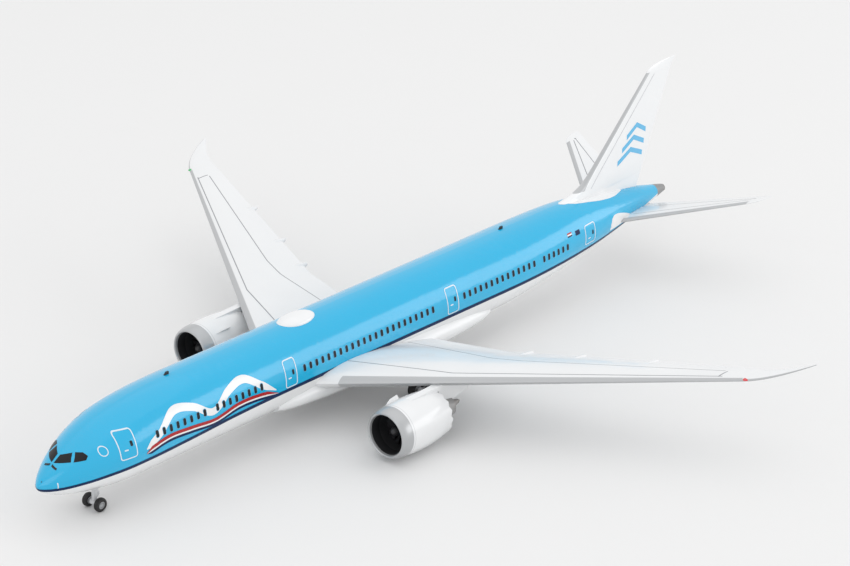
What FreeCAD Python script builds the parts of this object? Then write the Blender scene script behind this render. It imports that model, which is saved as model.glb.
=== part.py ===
"""Desktop model of a long twin-aisle, twin-engine airliner on its landing gear, at 1:200.

Lengths of the aircraft are in metres of the full-size machine and are turned into model
millimetres by at() and M. Pins, walls and clearances are in model millimetres.
+X points aft, +Y to starboard, +Z up, and the tyres stand on Z = 0.
"""
import FreeCAD
import Part
import math
import os

Vector = FreeCAD.Vector

# ---- scale and frame ----
M = 5.0                       # model millimetres per aircraft metre, which is 1:200
MID_X = 34.23                 # station that lies above the origin
X_AXIS = Vector(1, 0, 0)
Y_AXIS = Vector(0, 1, 0)
Z_AXIS = Vector(0, 0, 1)

# ---- fuselage, aircraft metres ----
LENGTH = 67.25
HALF_WIDTH = 2.885
CROWN_Z = 7.71
KEEL_Z = 1.77
NOSE_Z = 3.63
NOSE_CAP = 0.01               # the first section's station
TAIL_HALF_WIDTH = 0.27
TAIL_CROWN_Z = 5.45
TAIL_KEEL_Z = 4.87
CONE_X = 65.9                 # the grey cone starts here
CONE_PLUG = 0.7               # how far its plug reaches into the body
OUTLET_DEPTH = 0.6
CONE_BORE = 0.2
WALL = 0.26                   # 1.3 mm of cast wall
NOSE_HALF_WIDTH = (7.0, 1.7, 0.66)     # length of the nose's rounding and its two powers
NOSE_CROWN = (15.0, 3.56, 1.0)
NOSE_KEEL = (8.2, 1.83, 0.455)
TAIL_HALF_WIDTH_TAPER = (45.0, 2.0)    # where the taper starts and its power
TAIL_CROWN_TAPER = (52.0, 1.75)
TAIL_KEEL_TAPER = (44.0, 1.35)
NOSE_STATIONS = [NOSE_CAP, 0.1, 0.3, 0.6, 1.05, 1.7, 2.5, 3.5, 4.7, 6.1, 7.8, 9.6, 11.5]
BARREL_STATIONS = [15.0, 20.0, 26.0, 32.0, 38.0, 43.0]
TAIL_STATIONS = [45.5, 48.0, 50.5, 53.0, 55.5, 58.0, 60.5, 62.5, 64.5, 66.0, LENGTH]
HOLLOW_STATIONS = [1.2, 1.7, 2.5, 3.5, 4.7, 6.1, 7.8, 9.6, 11.5, *BARREL_STATIONS,
                   45.5, 48.0, 50.5, 53.0, 55.5, 58.0, 60.5, 62.5, 64.5, 66.0]

# ---- parting line between the blue and the white shell, as station and height ----
PARTING = [(-1.0, 3.3), (0.0, 3.33), (1.0, 3.39), (2.5, 3.53), (4.5, 3.7), (6.5, 3.79), (9.0, 3.82),
           (12.0, 3.95), (16.0, 4.18), (21.0, 4.28), (35.0, 4.28), (50.0, 4.25), (56.0, 4.25),
           (59.0, 4.38), (61.5, 4.6), (64.0, 4.95), (66.0, 5.2), (69.0, 5.5)]
PARTING_HALF_WIDTH = 4.0
PARTING_TOP = 12.0

# ---- belly fairing ----
FAIRING_START = 20.6
FAIRING_END = 43.4
FAIRING_HALF_WIDTH = 3.3
FAIRING_KEEL_Z = 1.34
FAIRING_TOP_Z = 4.65
FAIRING_END_HALF_WIDTH = 2.3
FAIRING_END_KEEL_Z = 2.1
FAIRING_END_TOP_Z = 3.4
FAIRING_STEPS = 12
FAIRING_FULLNESS = 0.55       # power of its swelling: less is fuller

# ---- wings ----
WING_ROOT_S = 2.0
WING_BASE_S = 3.0
WING_KINK_S = 10.0
WING_RAKE_S = 27.2
WING_SWEEP_S = 27.5
WING_TIP_STATIONS = [WING_RAKE_S, 28.0, 28.8, 29.5, 30.05]
WING_TIP_S = 30.4
WING_LE_X = 24.05
WING_LE_SLOPE = 0.69
WING_LE_Z = 3.71
WING_DIHEDRAL = 0.108
WING_TE_X = 35.75
WING_TE_SLOPE = 0.12
WING_TE_OUTER_SLOPE = 0.394
WING_TWIST_DROP = 0.4
WING_TWIST_S = 24.0
RAKE_LE_SWEEP = 2.35
RAKE_TE_SWEEP = 1.05
RAKE_RISE = 0.33
WING_THICKNESS = 0.135        # share of the chord
WING_CAMBER = 0.012           # share of the chord
AEROFOIL = [0.2969, -0.126, -0.3516, 0.2843, -0.1015]    # half thickness by powers of the chord
AEROFOIL_STEPS = 9
EDGE_HALF = 0.03              # half the thickness of a trailing edge
FLAP_FAIRING_S = [11.3, 15.0, 20.0]
FLAP_FAIRING_HALF = [2.3, 2.1, 1.8]
FLAP_FAIRING_RADIUS = [0.36, 0.33, 0.29]
FLAP_FAIRING_REACH = 0.55     # how far each one passes the trailing edge
FLAP_FAIRING_DROP = 0.2
FLAP_FAIRING_DEPTH = 1.15     # its depth over its breadth
FLAP_FAIRING_PITCH = -3.0

# ---- wing spar plate ----
SPAR_X = [28.2, 31.2]
SPAR_HALF_SPAN = 5.2
SPAR_Z = [3.45, 3.75]

# ---- fin and tailplane ----
FIN_Z = [5.8, 7.3, 7.6, 7.9, 8.25, 8.7, 9.4]
FIN_TIP_Z = 15.7
FIN_TOP_Z = 16.33
FIN_LE_X = 56.8
FIN_LE_SLOPE = 1.027
FIN_TE_X = 64.75
FIN_TE_SLOPE = 0.4
FIN_BASE_Z = 8.4
FIN_FILLET = 1.9              # how far the root reaches forward of the straight edge
FIN_FILLET_FROM = 7.3
FIN_FILLET_Z = 7.7
FIN_FILLET_FADE = 0.35
FIN_TIP_SWEEP = 2.5
FIN_THICKNESS = 0.1
FIN_TIP_THINNING = 0.06
FIN_TIP_TE_SWEEP = 0.25
FIN_TE_Z = 9.0
FIN_CHORD_LIMIT = 8.0         # the root fillet is no thicker than this chord's section
FIN_TIP_SHARES = [0.0, 0.4, 0.7, 0.9, 0.99]
FIN_TAB_X = [58.6, 61.4]
FIN_TAB_Z = [6.0, 7.1]
FIN_TAB_HALF = 0.14
TAILPLANE_LE_X = 60.05
TAILPLANE_LE_SLOPE = 0.845
TAILPLANE_TE_X = 65.3
TAILPLANE_TE_SLOPE = 0.4
TAILPLANE_Z = 5.0
TAILPLANE_DIHEDRAL = 0.245
TAILPLANE_BASE_S = 2.0
TAILPLANE_ROOT_S = 0.5
TAILPLANE_TIP_S = 9.2
TAILPLANE_END_S = 9.9
TAILPLANE_TAB_X = [61.6, 63.2]
TAILPLANE_TAB_Z = [4.75, 5.0]
TAILPLANE_TAB_S = [0.3, 1.9]
TAILPLANE_THICKNESS = 0.09
TAILPLANE_THINNING = 0.03
TAILPLANE_ROUNDING = 1.0
TAILPLANE_TIP_SHARES = [0.0, 0.4, 0.75, 0.97]

# ---- roof fittings ----
DOME_X = 24.6
DOME_HALF = [1.75, 0.95, 0.5]
DOME_Z = 7.55
BLADE_X = [11.6, 46.7]
BLADE_LENGTH = 0.5
BLADE_HEIGHT = 0.2
BLADE_HALF = 0.06
BLADE_SWEEP = 0.27

# ---- engines ----
QUARTER_STEPS = 6             # points along a rounded edge
ENGINE_Y = 9.73
ENGINE_Z = 2.17
INLET_X = 23.5
LIP_LENGTH = 0.95
LIP_EDGE_RADIUS = 1.58
LIP_BACK_RADIUS = 1.87
THROAT_RADIUS = 1.42
DUCT_RADIUS = 1.45
COWL_RADIUS = 1.96
COWL_MAX = 2.2
COWL_LATE = 3.8
COWL_LATE_RADIUS = 1.9
COWL_END = 5.3
COWL_END_RADIUS = 1.68
WEB_START = 2.35
WEB_END = 3.7
NOZZLE_BORE_RADIUS = 1.58
CORE_RADIUS = 0.62
CORE_COWL_RADIUS = 1.05
CORE_COWL_END = 4.7
CORE_END = 6.7
CORE_END_RADIUS = 0.72
PLUG_END = 7.9
PLUG_FRONT_RADIUS = 0.5
PLUG_TIP_RADIUS = 0.16
PLUG_TIP_LENGTH = 0.25
OUTLET_WALL = 0.07
PLUG_SET_BACK = 0.4
SHAFT_SOCKET = 4.0            # model millimetres
CHEVRONS = 16
CHEVRON_DEPTH = 0.22
CHINE_ANGLE = 48.0
CHINE_X = [1.2, 2.8]
CHINE_HEIGHT = 0.3
CHINE_HALF = 0.06
CHINE_FALL = 0.08
PYLON_HALF = 0.26
PYLON_TOP = [(1.35, 3.7), (1.75, 4.0), (2.6, 4.16), (5.7, 4.26), (6.6, 4.75), (10.0, 4.4)]
PYLON_LOW = [(10.0, 3.9), (8.2, 3.0), (6.2, 2.6), (4.0, 2.6)]
FAN_X = 1.45
FAN_DEPTH = 0.62
FAN_BLADES = 18
FAN_HUB_RADIUS = 0.42
SPINNER_LENGTH = 0.75
FAN_TIP_RADIUS = 1.37
BLADE_ROOT_ANGLE = 35.0
BLADE_TIP_ANGLE = 62.0
BLADE_THICKNESS = 0.4         # model millimetres
BLADE_HALF_CHORD = 0.9        # model millimetres, the limit that keeps neighbours apart
BLADE_ROOTING = 0.08          # how deep a blade's foot goes into the hub
SHAFT_REACH = 0.1             # how far the pin goes past the fan's front plane
END_GAP = 0.06

# ---- landing gear ----
TYRE_SHOULDER = 0.6           # share of a tyre's section that its rounding takes up
TYRE_FLATNESS = 0.6
HUB_BREADTH = 0.8             # a hub's breadth over its tyre's
DISH_RADIUS = 0.72            # share of the hub's radius
DISH_DEPTH = 0.45             # share of half the tyre's breadth
BOSS_RADIUS = 1.5             # share of the axle's radius
AXLE_REACH = 0.4              # share of the tyre's breadth
NOSE_GEAR_X = 5.05
NOSE_WHEEL_RADIUS = 0.508
NOSE_WHEEL_Y = 0.58
NOSE_TYRE_WIDTH = 0.38
NOSE_HUB_RADIUS = 0.27
NOSE_LEG_TOP = 2.3
NOSE_BRACE_FOOT = 0.55        # above the axle
NOSE_BRACE_REACH = 0.9
MAIN_GEAR_X = 33.6
MAIN_GEAR_Y = 4.9
MAIN_WHEEL_RADIUS = 0.685
MAIN_WHEEL_Y = 0.66
MAIN_TYRE_WIDTH = 0.52
MAIN_HUB_RADIUS = 0.36
BOGIE_HALF = 0.76
BOGIE_HALF_WIDTH = 0.16
MAIN_LEG_TOP = 3.62
LEG_RADIUS = 0.19
MAIN_LEG_RADIUS = 0.21
MAIN_CYLINDER_RADIUS = 0.26
MAIN_CYLINDER_FOOT = 0.75     # above the bogie beam
MAIN_CYLINDER_TOP = 3.22
BRACE_RADIUS = 0.085
BRACE_INSET = 0.1
MAIN_BRACE_FOOT = 1.0         # above the bogie beam
DRAG_BRACE_REACH = 1.25
SIDE_BRACE_REACH = 0.75
SLEEVE_RADIUS = 0.22
SLEEVE_HALF = 0.26

# ---- pins, holes and screws, model millimetres ----
AXLE_R = 0.5
SHAFT_R = 0.8
RUNNING = 0.05                # radial clearance of a running fit
SCREW_X = [14.0, 26.0, 45.0]
SCREW_R = 0.8
SCREW_LENGTH = 6.5            # depth of its pilot hole above the belly's wall
SCREW_TIP_GAP = 0.5
SCREW_HEAD_R = 1.6
SCREW_HEAD = 0.7
SLOT_WIDTH = 0.5
SLOT_DEPTH = 0.35
POST_R = 2.2
SOCKET_X = 33.2
SOCKET_R = 1.6
SOCKET_OUTER_R = 3.0
SOCKET_DEPTH = 8.0
SOCKET_LENGTH = 9.2
SOCKET_RELIEF = 1.0           # its hole runs on past the belly's skin


# ---- helpers ----
def at(x, y, z):
    """A point of the aircraft, in metres, as a model point."""
    return Vector((x - MID_X) * M, y * M, z * M)


def block(x, y, z):
    """A box between two stations, two breadths and two heights, each a pair in metres."""
    size = [(pair[1] - pair[0]) * M for pair in (x, y, z)]
    return Part.makeBox(size[0], size[1], size[2], at(x[0], y[0], z[0]))


def rod(radius, start, end):
    """A round bar of a radius in millimetres between two model points."""
    run = end.sub(start)
    return Part.makeCylinder(radius, run.Length, start, run)


def nose_share(x, rounding):
    """A rounded rise from 0 at the nose tip to 1 at the end of the rounding."""
    length, power, fullness = rounding
    return (1.0 - (1.0 - min(x / length, 1.0)) ** power) ** fullness


def taper(x, start_power):
    """A share from 0 where the tail's taper starts to 1 at its end."""
    start, power = start_power
    return max(0.0, (x - start) / (LENGTH - start)) ** power


def spline(points):
    """One smooth edge through points."""
    curve = Part.BSplineCurve()
    curve.interpolate(points)
    return curve.toShape()


def chain(points):
    """Straight edges through points."""
    return Part.makePolygon(points).Edges


def polygon(points):
    """A flat face inside straight edges."""
    return Part.Face(Part.makePolygon(points + points[:1]))


def ellipsoid(halves):
    """A sphere stretched to three half sizes in metres, about the origin."""
    stretch = FreeCAD.Matrix()
    stretch.A11, stretch.A22, stretch.A33 = [half * M for half in halves]
    return Part.makeSphere(1.0).transformGeometry(stretch)


def largest(shape):
    """The largest solid of a cut, which leaves the scraps behind."""
    return max(shape.Solids, key=lambda solid: solid.Volume)


def save(name, shape):
    """Write one sub-part."""
    shape.exportStep("parts/" + name + ".step")


def mirrored(shape):
    """The same piece on the other side of the aircraft."""
    return shape.mirror(Vector(0, 0, 0), Y_AXIS)


# ---- fuselage ----
def half_width(x):
    """Half the breadth of the body at a station."""
    return HALF_WIDTH * nose_share(x, NOSE_HALF_WIDTH) - (HALF_WIDTH - TAIL_HALF_WIDTH) * taper(
        x, TAIL_HALF_WIDTH_TAPER)


def crown(x):
    """Height of the top line."""
    rise = (CROWN_Z - NOSE_Z) * nose_share(x, NOSE_CROWN)
    return NOSE_Z + rise - (CROWN_Z - TAIL_CROWN_Z) * taper(x, TAIL_CROWN_TAPER)


def keel(x):
    """Height of the bottom line."""
    drop = (NOSE_Z - KEEL_Z) * nose_share(x, NOSE_KEEL)
    return NOSE_Z - drop + (TAIL_KEEL_Z - KEEL_Z) * taper(x, TAIL_KEEL_TAPER)


def oval(x, half, top, bottom):
    """An ellipse across the body, as two half arcs."""
    middle = (top + bottom) / 2
    stretch = FreeCAD.Matrix()
    stretch.A22 = half * M
    stretch.A33 = (top - bottom) / 2 * M
    stretch.A14 = (x - MID_X) * M
    stretch.A34 = middle * M
    circle = Part.Circle(Vector(0, 0, 0), X_AXIS, 1.0)
    halves = [circle.toShape(0, math.pi), circle.toShape(math.pi, 2 * math.pi)]
    return Part.Wire([half_arc.transformGeometry(stretch) for half_arc in halves])


def body_solid(stations, inset):
    """The fuselage's solid through its sections, moved in by a wall."""
    wires = []
    for x in stations:
        wires.append(oval(x, half_width(x) - inset, crown(x) - inset, keel(x) + inset))
    return Part.makeLoft(wires, True, False)


def above_parting():
    """The space above the parting line."""
    edge = spline([at(x, -PARTING_HALF_WIDTH, z) for x, z in PARTING])
    (first_x, first_z), (last_x, last_z) = PARTING[0], PARTING[-1]
    corners = [(last_x, last_z), (last_x, PARTING_TOP), (first_x, PARTING_TOP), (first_x, first_z)]
    sides = chain([at(x, -PARTING_HALF_WIDTH, z) for x, z in corners])
    return Part.Face(Part.Wire([edge, *sides])).extrude(Y_AXIS * 2 * PARTING_HALF_WIDTH * M)


def screw_posts():
    """Posts that hang from the crown for the screws, with pilot holes."""
    posts = []
    for x in SCREW_X:
        foot = at(x, 0, keel(x) + WALL)
        post = rod(POST_R, foot, at(x, 0, crown(x) - WALL / 2))
        pilot = rod(SCREW_R, foot, foot + Z_AXIS * SCREW_LENGTH)
        posts.append(post.cut(pilot))
    return Part.makeCompound(posts)


def screw_seat(x):
    """Where the underside of a screw's head rests."""
    return at(x, 0, min(keel(x), fairing_keel(x))) + Z_AXIS * SCREW_HEAD


def screw(x):
    """A slotted screw with a flat round head."""
    seat = screw_seat(x)
    tip = at(x, 0, keel(x) + WALL) + Z_AXIS * (SCREW_LENGTH - SCREW_TIP_GAP)
    head = rod(SCREW_HEAD_R, seat - Z_AXIS * SCREW_HEAD, seat)
    slot = Part.makeBox(4 * SCREW_HEAD_R, SLOT_WIDTH, SLOT_DEPTH)
    slot.translate(seat - Vector(2 * SCREW_HEAD_R, SLOT_WIDTH / 2, SCREW_HEAD))
    return head.fuse(rod(SCREW_R, seat, tip)).cut(slot)


def screw_hole(x):
    """The clearance cut out of the belly for one screw and its head."""
    seat = screw_seat(x)
    well = rod(SCREW_HEAD_R, seat - Z_AXIS * 3 * SCREW_HEAD, seat)
    return well.fuse(rod(SCREW_R, seat, seat + Z_AXIS * SCREW_LENGTH))


def swell(x):
    """How far the fairing has swollen at a station, from 0 at its ends to 1 in the middle."""
    share = (x - FAIRING_START) / (FAIRING_END - FAIRING_START)
    return max(0.0, math.sin(math.pi * max(0.0, min(1.0, share)))) ** FAIRING_FULLNESS


def fairing_keel(x):
    """Height of the fairing's bottom line."""
    return FAIRING_END_KEEL_Z + (FAIRING_KEEL_Z - FAIRING_END_KEEL_Z) * swell(x)


def fairing_solid():
    """The swollen belly between the wings, before the fuselage is taken out of it."""
    wires = []
    for i in range(FAIRING_STEPS + 1):
        x = FAIRING_START + (FAIRING_END - FAIRING_START) * i / FAIRING_STEPS
        half = FAIRING_END_HALF_WIDTH + (FAIRING_HALF_WIDTH - FAIRING_END_HALF_WIDTH) * swell(x)
        top = FAIRING_END_TOP_Z + (FAIRING_TOP_Z - FAIRING_END_TOP_Z) * swell(x)
        wires.append(oval(x, half, top, fairing_keel(x)))
    return Part.makeLoft(wires, True, False)


def socket_bar(radius, length, below=0.0):
    """A bar on the stand socket's axis, from its mouth or a little below it."""
    mouth = at(SOCKET_X, 0, fairing_keel(SOCKET_X))
    return rod(radius, mouth - Z_AXIS * below, mouth + Z_AXIS * length)


def stand_socket():
    """A blind bush in the belly for a display stand's pin."""
    return socket_bar(SOCKET_OUTER_R, SOCKET_LENGTH).cut(socket_bar(SOCKET_R, SOCKET_DEPTH))


def cone_space(start, end):
    """A box round the end of the body between two stations."""
    return block((start, end), (-HALF_WIDTH, HALF_WIDTH), (KEEL_Z, CROWN_Z))


def tail_cone(outer, hollow):
    """The grey cone at the end of the body, with its plug and its outlet."""
    cone = outer.common(cone_space(CONE_X, LENGTH + 1))
    plug = hollow.common(cone_space(CONE_X - CONE_PLUG, CONE_X))
    middle = (TAIL_CROWN_Z + TAIL_KEEL_Z) / 2
    outlet = rod(CONE_BORE * M, at(LENGTH - OUTLET_DEPTH, 0, middle), at(LENGTH + 1, 0, middle))
    return cone.fuse(plug).cut(outlet)


# ---- wings ----
def half_thickness(share, thickness, chord):
    """Half the thickness of an aerofoil at a share of its chord."""
    root, first, second, third, fourth = AEROFOIL
    powers = root * math.sqrt(share) + first * share + second * share ** 2
    powers += third * share ** 3 + fourth * share ** 4
    return 5 * thickness * chord * powers + EDGE_HALF * share


def chord_shares():
    """Shares of a chord that lie closer together near its ends."""
    return [(1 - math.cos(math.pi * i / AEROFOIL_STEPS)) / 2 for i in range(AEROFOIL_STEPS + 1)]


def closed_section(side, other):
    """A section's outline from its two sides, with a flat trailing edge."""
    back = Part.LineSegment(side[-1], other[-1]).toShape()
    return Part.Wire([spline(side), back, spline(other[::-1])])


def section(le, te, s, thickness, camber):
    """An aerofoil across a wing at breadth s, from (x, z) of its leading and trailing edges."""
    chord = te[0] - le[0]
    upper, lower = [], []
    for share in chord_shares():
        half = half_thickness(share, thickness, chord)
        line = le[1] + (te[1] - le[1]) * share + 4 * camber * chord * share * (1 - share)
        upper.append(at(le[0] + chord * share, s, line + half))
        lower.append(at(le[0] + chord * share, s, line - half))
    return closed_section(upper, lower)


def rake(s):
    """How far out along the raked tip a section lies, from 0 to 1."""
    return max(0.0, (s - WING_SWEEP_S) / (WING_TIP_S - WING_SWEEP_S))


def wing_le(s):
    """The wing's leading edge as (x, z)."""
    x = WING_LE_X + WING_LE_SLOPE * (s - WING_BASE_S) + RAKE_LE_SWEEP * rake(s) ** 2.2
    return x, WING_LE_Z + WING_DIHEDRAL * (s - WING_BASE_S) + RAKE_RISE * rake(s) ** 1.5


def wing_te(s):
    """The wing's trailing edge as (x, z)."""
    inner = WING_TE_X + WING_TE_SLOPE * (min(s, WING_KINK_S) - WING_BASE_S)
    outer = WING_TE_OUTER_SLOPE * max(0.0, s - WING_KINK_S)
    drop = WING_TWIST_DROP * max(0.0, 1.0 - (s - WING_BASE_S) / WING_TWIST_S) ** 1.5
    return inner + outer + RAKE_TE_SWEEP * rake(s) ** 2, wing_le(s)[1] - drop


def wing_section(s):
    """The wing's aerofoil at breadth s."""
    return section(wing_le(s), wing_te(s), s, WING_THICKNESS, WING_CAMBER)


def flap_fairing(s, half, radius):
    """A canoe-shaped pod under the trailing edge."""
    edge = wing_te(s)
    pod = ellipsoid([half, radius, radius * FLAP_FAIRING_DEPTH])
    pod.rotate(Vector(0, 0, 0), Y_AXIS, FLAP_FAIRING_PITCH)
    pod.translate(at(edge[0] + FLAP_FAIRING_REACH - half, s, edge[1] - FLAP_FAIRING_DROP))
    return pod


def wing_solid():
    """The whole starboard wing, from inside the body to the raked tip."""
    inner = Part.makeLoft([wing_section(WING_ROOT_S), wing_section(WING_KINK_S)], True, True)
    outer = Part.makeLoft([wing_section(WING_KINK_S), wing_section(WING_RAKE_S)], True, True)
    tip = Part.makeLoft([wing_section(s) for s in [*WING_TIP_STATIONS, WING_TIP_S]], True, False)
    wing = inner.fuse([outer, tip])
    pods = [flap_fairing(*pod) for pod in zip(FLAP_FAIRING_S, FLAP_FAIRING_HALF, FLAP_FAIRING_RADIUS)]
    return wing.fuse(pods)


def spar():
    """The flat plate that ties the two wings together."""
    return block(SPAR_X, (-SPAR_HALF_SPAN, SPAR_HALF_SPAN), SPAR_Z)


# ---- fin and tailplane ----
def fin_section(z):
    """The fin's symmetrical section at a height."""
    rise = max(0.0, (z - FIN_TIP_Z) / (FIN_TOP_Z - FIN_TIP_Z))
    le = FIN_LE_X + FIN_LE_SLOPE * (min(z, FIN_TIP_Z) - FIN_BASE_Z)
    le += FIN_TIP_SWEEP * (1 - math.sqrt(1 - rise ** 2))
    le -= FIN_FILLET * math.exp((FIN_FILLET_Z - max(z, FIN_FILLET_FROM)) / FIN_FILLET_FADE)
    te = FIN_TE_X + FIN_TE_SLOPE * (z - FIN_TE_Z) + FIN_TIP_TE_SWEEP * rise
    chord = te - le
    thickness = FIN_THICKNESS - FIN_TIP_THINNING * rise
    port, starboard = [], []
    for share in chord_shares():
        half = half_thickness(share, thickness, min(chord, FIN_CHORD_LIMIT))
        port.append(at(le + chord * share, -half, z))
        starboard.append(at(le + chord * share, half, z))
    return closed_section(port, starboard)


def fin_solid():
    """The fin with its curved root and swept-back tip."""
    root = Part.makeLoft([fin_section(z) for z in FIN_Z], True, False)
    blade = Part.makeLoft([fin_section(FIN_Z[-1]), fin_section(FIN_TIP_Z)], True, True)
    top = [fin_section(FIN_TIP_Z + (FIN_TOP_Z - FIN_TIP_Z) * share) for share in FIN_TIP_SHARES]
    return root.fuse([blade, Part.makeLoft(top, True, False)])


def tailplane_section(s):
    """The tailplane's section at breadth s."""
    round_off = max(0.0, (s - TAILPLANE_TIP_S) / (TAILPLANE_END_S - TAILPLANE_TIP_S))
    out = s - TAILPLANE_BASE_S
    z = TAILPLANE_Z + TAILPLANE_DIHEDRAL * out
    le = TAILPLANE_LE_X + TAILPLANE_LE_SLOPE * out + TAILPLANE_ROUNDING * (1 - math.sqrt(1 - round_off ** 2))
    te = TAILPLANE_TE_X + TAILPLANE_TE_SLOPE * out
    return section((le, z), (te, z), s, TAILPLANE_THICKNESS - TAILPLANE_THINNING * round_off, 0.0)


def tailplane_solid():
    """The starboard half of the tailplane, before the body is taken out of it."""
    ends = [tailplane_section(s) for s in (TAILPLANE_ROOT_S, TAILPLANE_TIP_S)]
    blade = Part.makeLoft(ends, True, True)
    span = TAILPLANE_END_S - TAILPLANE_TIP_S
    tips = [tailplane_section(TAILPLANE_TIP_S + span * share) for share in TAILPLANE_TIP_SHARES]
    return blade.fuse(Part.makeLoft(tips, True, False))


# ---- roof fittings ----
def dome():
    """The flat oval dome of the satellite antenna."""
    pod = ellipsoid(DOME_HALF)
    pod.translate(at(DOME_X, 0, DOME_Z))
    return pod


def blade_antenna(x):
    """A swept blade on the crown."""
    low = crown(x) - BLADE_HEIGHT / 2
    high = crown(x) + BLADE_HEIGHT
    side = [at(x, -BLADE_HALF, low), at(x + BLADE_LENGTH, -BLADE_HALF, low),
            at(x + BLADE_LENGTH, -BLADE_HALF, high), at(x + BLADE_SWEEP, -BLADE_HALF, high)]
    return polygon(side).extrude(Y_AXIS * 2 * BLADE_HALF * M)


# ---- engines ----
def engine_point(x, radius):
    """A point of an engine's outline, x aft of its inlet."""
    return at(INLET_X + x, ENGINE_Y, ENGINE_Z + radius)


def turned(edges):
    """The solid of revolution of an outline about the engine's axis."""
    return Part.Face(Part.Wire(edges)).revolve(at(INLET_X, ENGINE_Y, ENGINE_Z), X_AXIS, 360)


def quarter(centre_x, centre_r, reach, rise, outward):
    """Points of a quarter ellipse from its foremost point to its side."""
    points = []
    for i in range(QUARTER_STEPS + 1):
        angle = math.pi / 2 * i / QUARTER_STEPS
        radius = centre_r + (rise if outward else -rise) * math.sin(angle)
        points.append(engine_point(centre_x - reach * math.cos(angle), radius))
    return points


def inlet_lip():
    """The rounded metal ring at the front of a nacelle."""
    outer = quarter(LIP_LENGTH, LIP_EDGE_RADIUS, LIP_LENGTH, LIP_BACK_RADIUS - LIP_EDGE_RADIUS, True)
    inner = quarter(LIP_LENGTH, LIP_EDGE_RADIUS, LIP_LENGTH, LIP_EDGE_RADIUS - THROAT_RADIUS, False)
    back = Part.LineSegment(outer[-1], inner[-1]).toShape()
    return turned([spline(outer), back, spline(inner[::-1])])


def cowl_curve():
    """The nacelle's outer line, behind the lip."""
    return spline([engine_point(LIP_LENGTH, LIP_BACK_RADIUS), engine_point(COWL_MAX, COWL_RADIUS),
                   engine_point(COWL_LATE, COWL_LATE_RADIUS), engine_point(COWL_END, COWL_END_RADIUS)])


def cowl_envelope():
    """The nacelle filled in, for cutting its neighbours."""
    axis = chain([engine_point(COWL_END, COWL_END_RADIUS), engine_point(COWL_END, 0), engine_point(0, 0),
                  engine_point(0, LIP_EDGE_RADIUS), engine_point(LIP_LENGTH, LIP_BACK_RADIUS)])
    return turned([cowl_curve(), *axis])


def chevron_cuts():
    """Wedges that leave a saw-tooth edge round the fan nozzle."""
    cuts = []
    half = math.pi * COWL_END_RADIUS / CHEVRONS * 1.5
    foot = ENGINE_Z + CORE_COWL_RADIUS
    for i in range(CHEVRONS):
        wedge = polygon([at(INLET_X + COWL_END - CHEVRON_DEPTH, ENGINE_Y, foot),
                         at(INLET_X + COWL_END + CHEVRON_DEPTH / 2, ENGINE_Y - half, foot),
                         at(INLET_X + COWL_END + CHEVRON_DEPTH / 2, ENGINE_Y + half, foot)])
        wedge = wedge.extrude(Z_AXIS * COWL_END_RADIUS * M)
        wedge.rotate(at(INLET_X, ENGINE_Y, ENGINE_Z), X_AXIS, (i + 0.5) * 360 / CHEVRONS)
        cuts.append(wedge)
    return cuts


def chine():
    """The thin strake on the inboard shoulder of a nacelle."""
    foot = COWL_RADIUS - CHINE_HEIGHT / 2
    top = COWL_RADIUS + CHINE_HEIGHT
    start, end = CHINE_X
    outline = [(start, foot), (end, foot), (end, top), ((start + end) / 2, top - CHINE_FALL)]
    plate = polygon([at(INLET_X + x, ENGINE_Y - CHINE_HALF, ENGINE_Z + r) for x, r in outline])
    plate = plate.extrude(Y_AXIS * 2 * CHINE_HALF * M)
    plate.rotate(at(INLET_X, ENGINE_Y, ENGINE_Z), X_AXIS, 90.0 - CHINE_ANGLE)
    return plate


def nacelle():
    """The cowl with its inlet duct, its inner web and its chevron nozzle."""
    inside = chain([engine_point(COWL_END, COWL_END_RADIUS), engine_point(COWL_END, NOZZLE_BORE_RADIUS),
                    engine_point(WEB_END, NOZZLE_BORE_RADIUS), engine_point(WEB_END, CORE_RADIUS),
                    engine_point(WEB_START, CORE_RADIUS), engine_point(WEB_START, DUCT_RADIUS),
                    engine_point(LIP_LENGTH, DUCT_RADIUS), engine_point(LIP_LENGTH, LIP_BACK_RADIUS)])
    cowl = turned([cowl_curve(), *inside])
    fin = chine().cut(cowl_envelope())
    return cowl.cut(chevron_cuts()).fuse(fin)


def core_nozzle():
    """The core cowl and its tail plug, which pass through the web and hold the fan's shaft."""
    front = engine_point(WEB_START, 0)
    outline = chain([front, engine_point(WEB_START, CORE_RADIUS), engine_point(WEB_END, CORE_RADIUS),
                     engine_point(WEB_END, CORE_COWL_RADIUS), engine_point(CORE_COWL_END, CORE_COWL_RADIUS),
                     engine_point(CORE_END, CORE_END_RADIUS),
                     engine_point(CORE_END, CORE_END_RADIUS - OUTLET_WALL),
                     engine_point(CORE_END - PLUG_SET_BACK, CORE_END_RADIUS - OUTLET_WALL / 2),
                     engine_point(CORE_END - PLUG_SET_BACK, PLUG_FRONT_RADIUS),
                     engine_point(PLUG_END - PLUG_TIP_LENGTH, PLUG_TIP_RADIUS),
                     engine_point(PLUG_END, 0), front])
    socket = rod(SHAFT_R, front, front + X_AXIS * SHAFT_SOCKET)
    return turned(outline).cut(socket)


def fan_shaft():
    """The fixed pin that the fan turns on."""
    front = engine_point(WEB_START, 0)
    return rod(SHAFT_R, engine_point(FAN_X - SHAFT_REACH, 0), front + X_AXIS * SHAFT_SOCKET)


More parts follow.
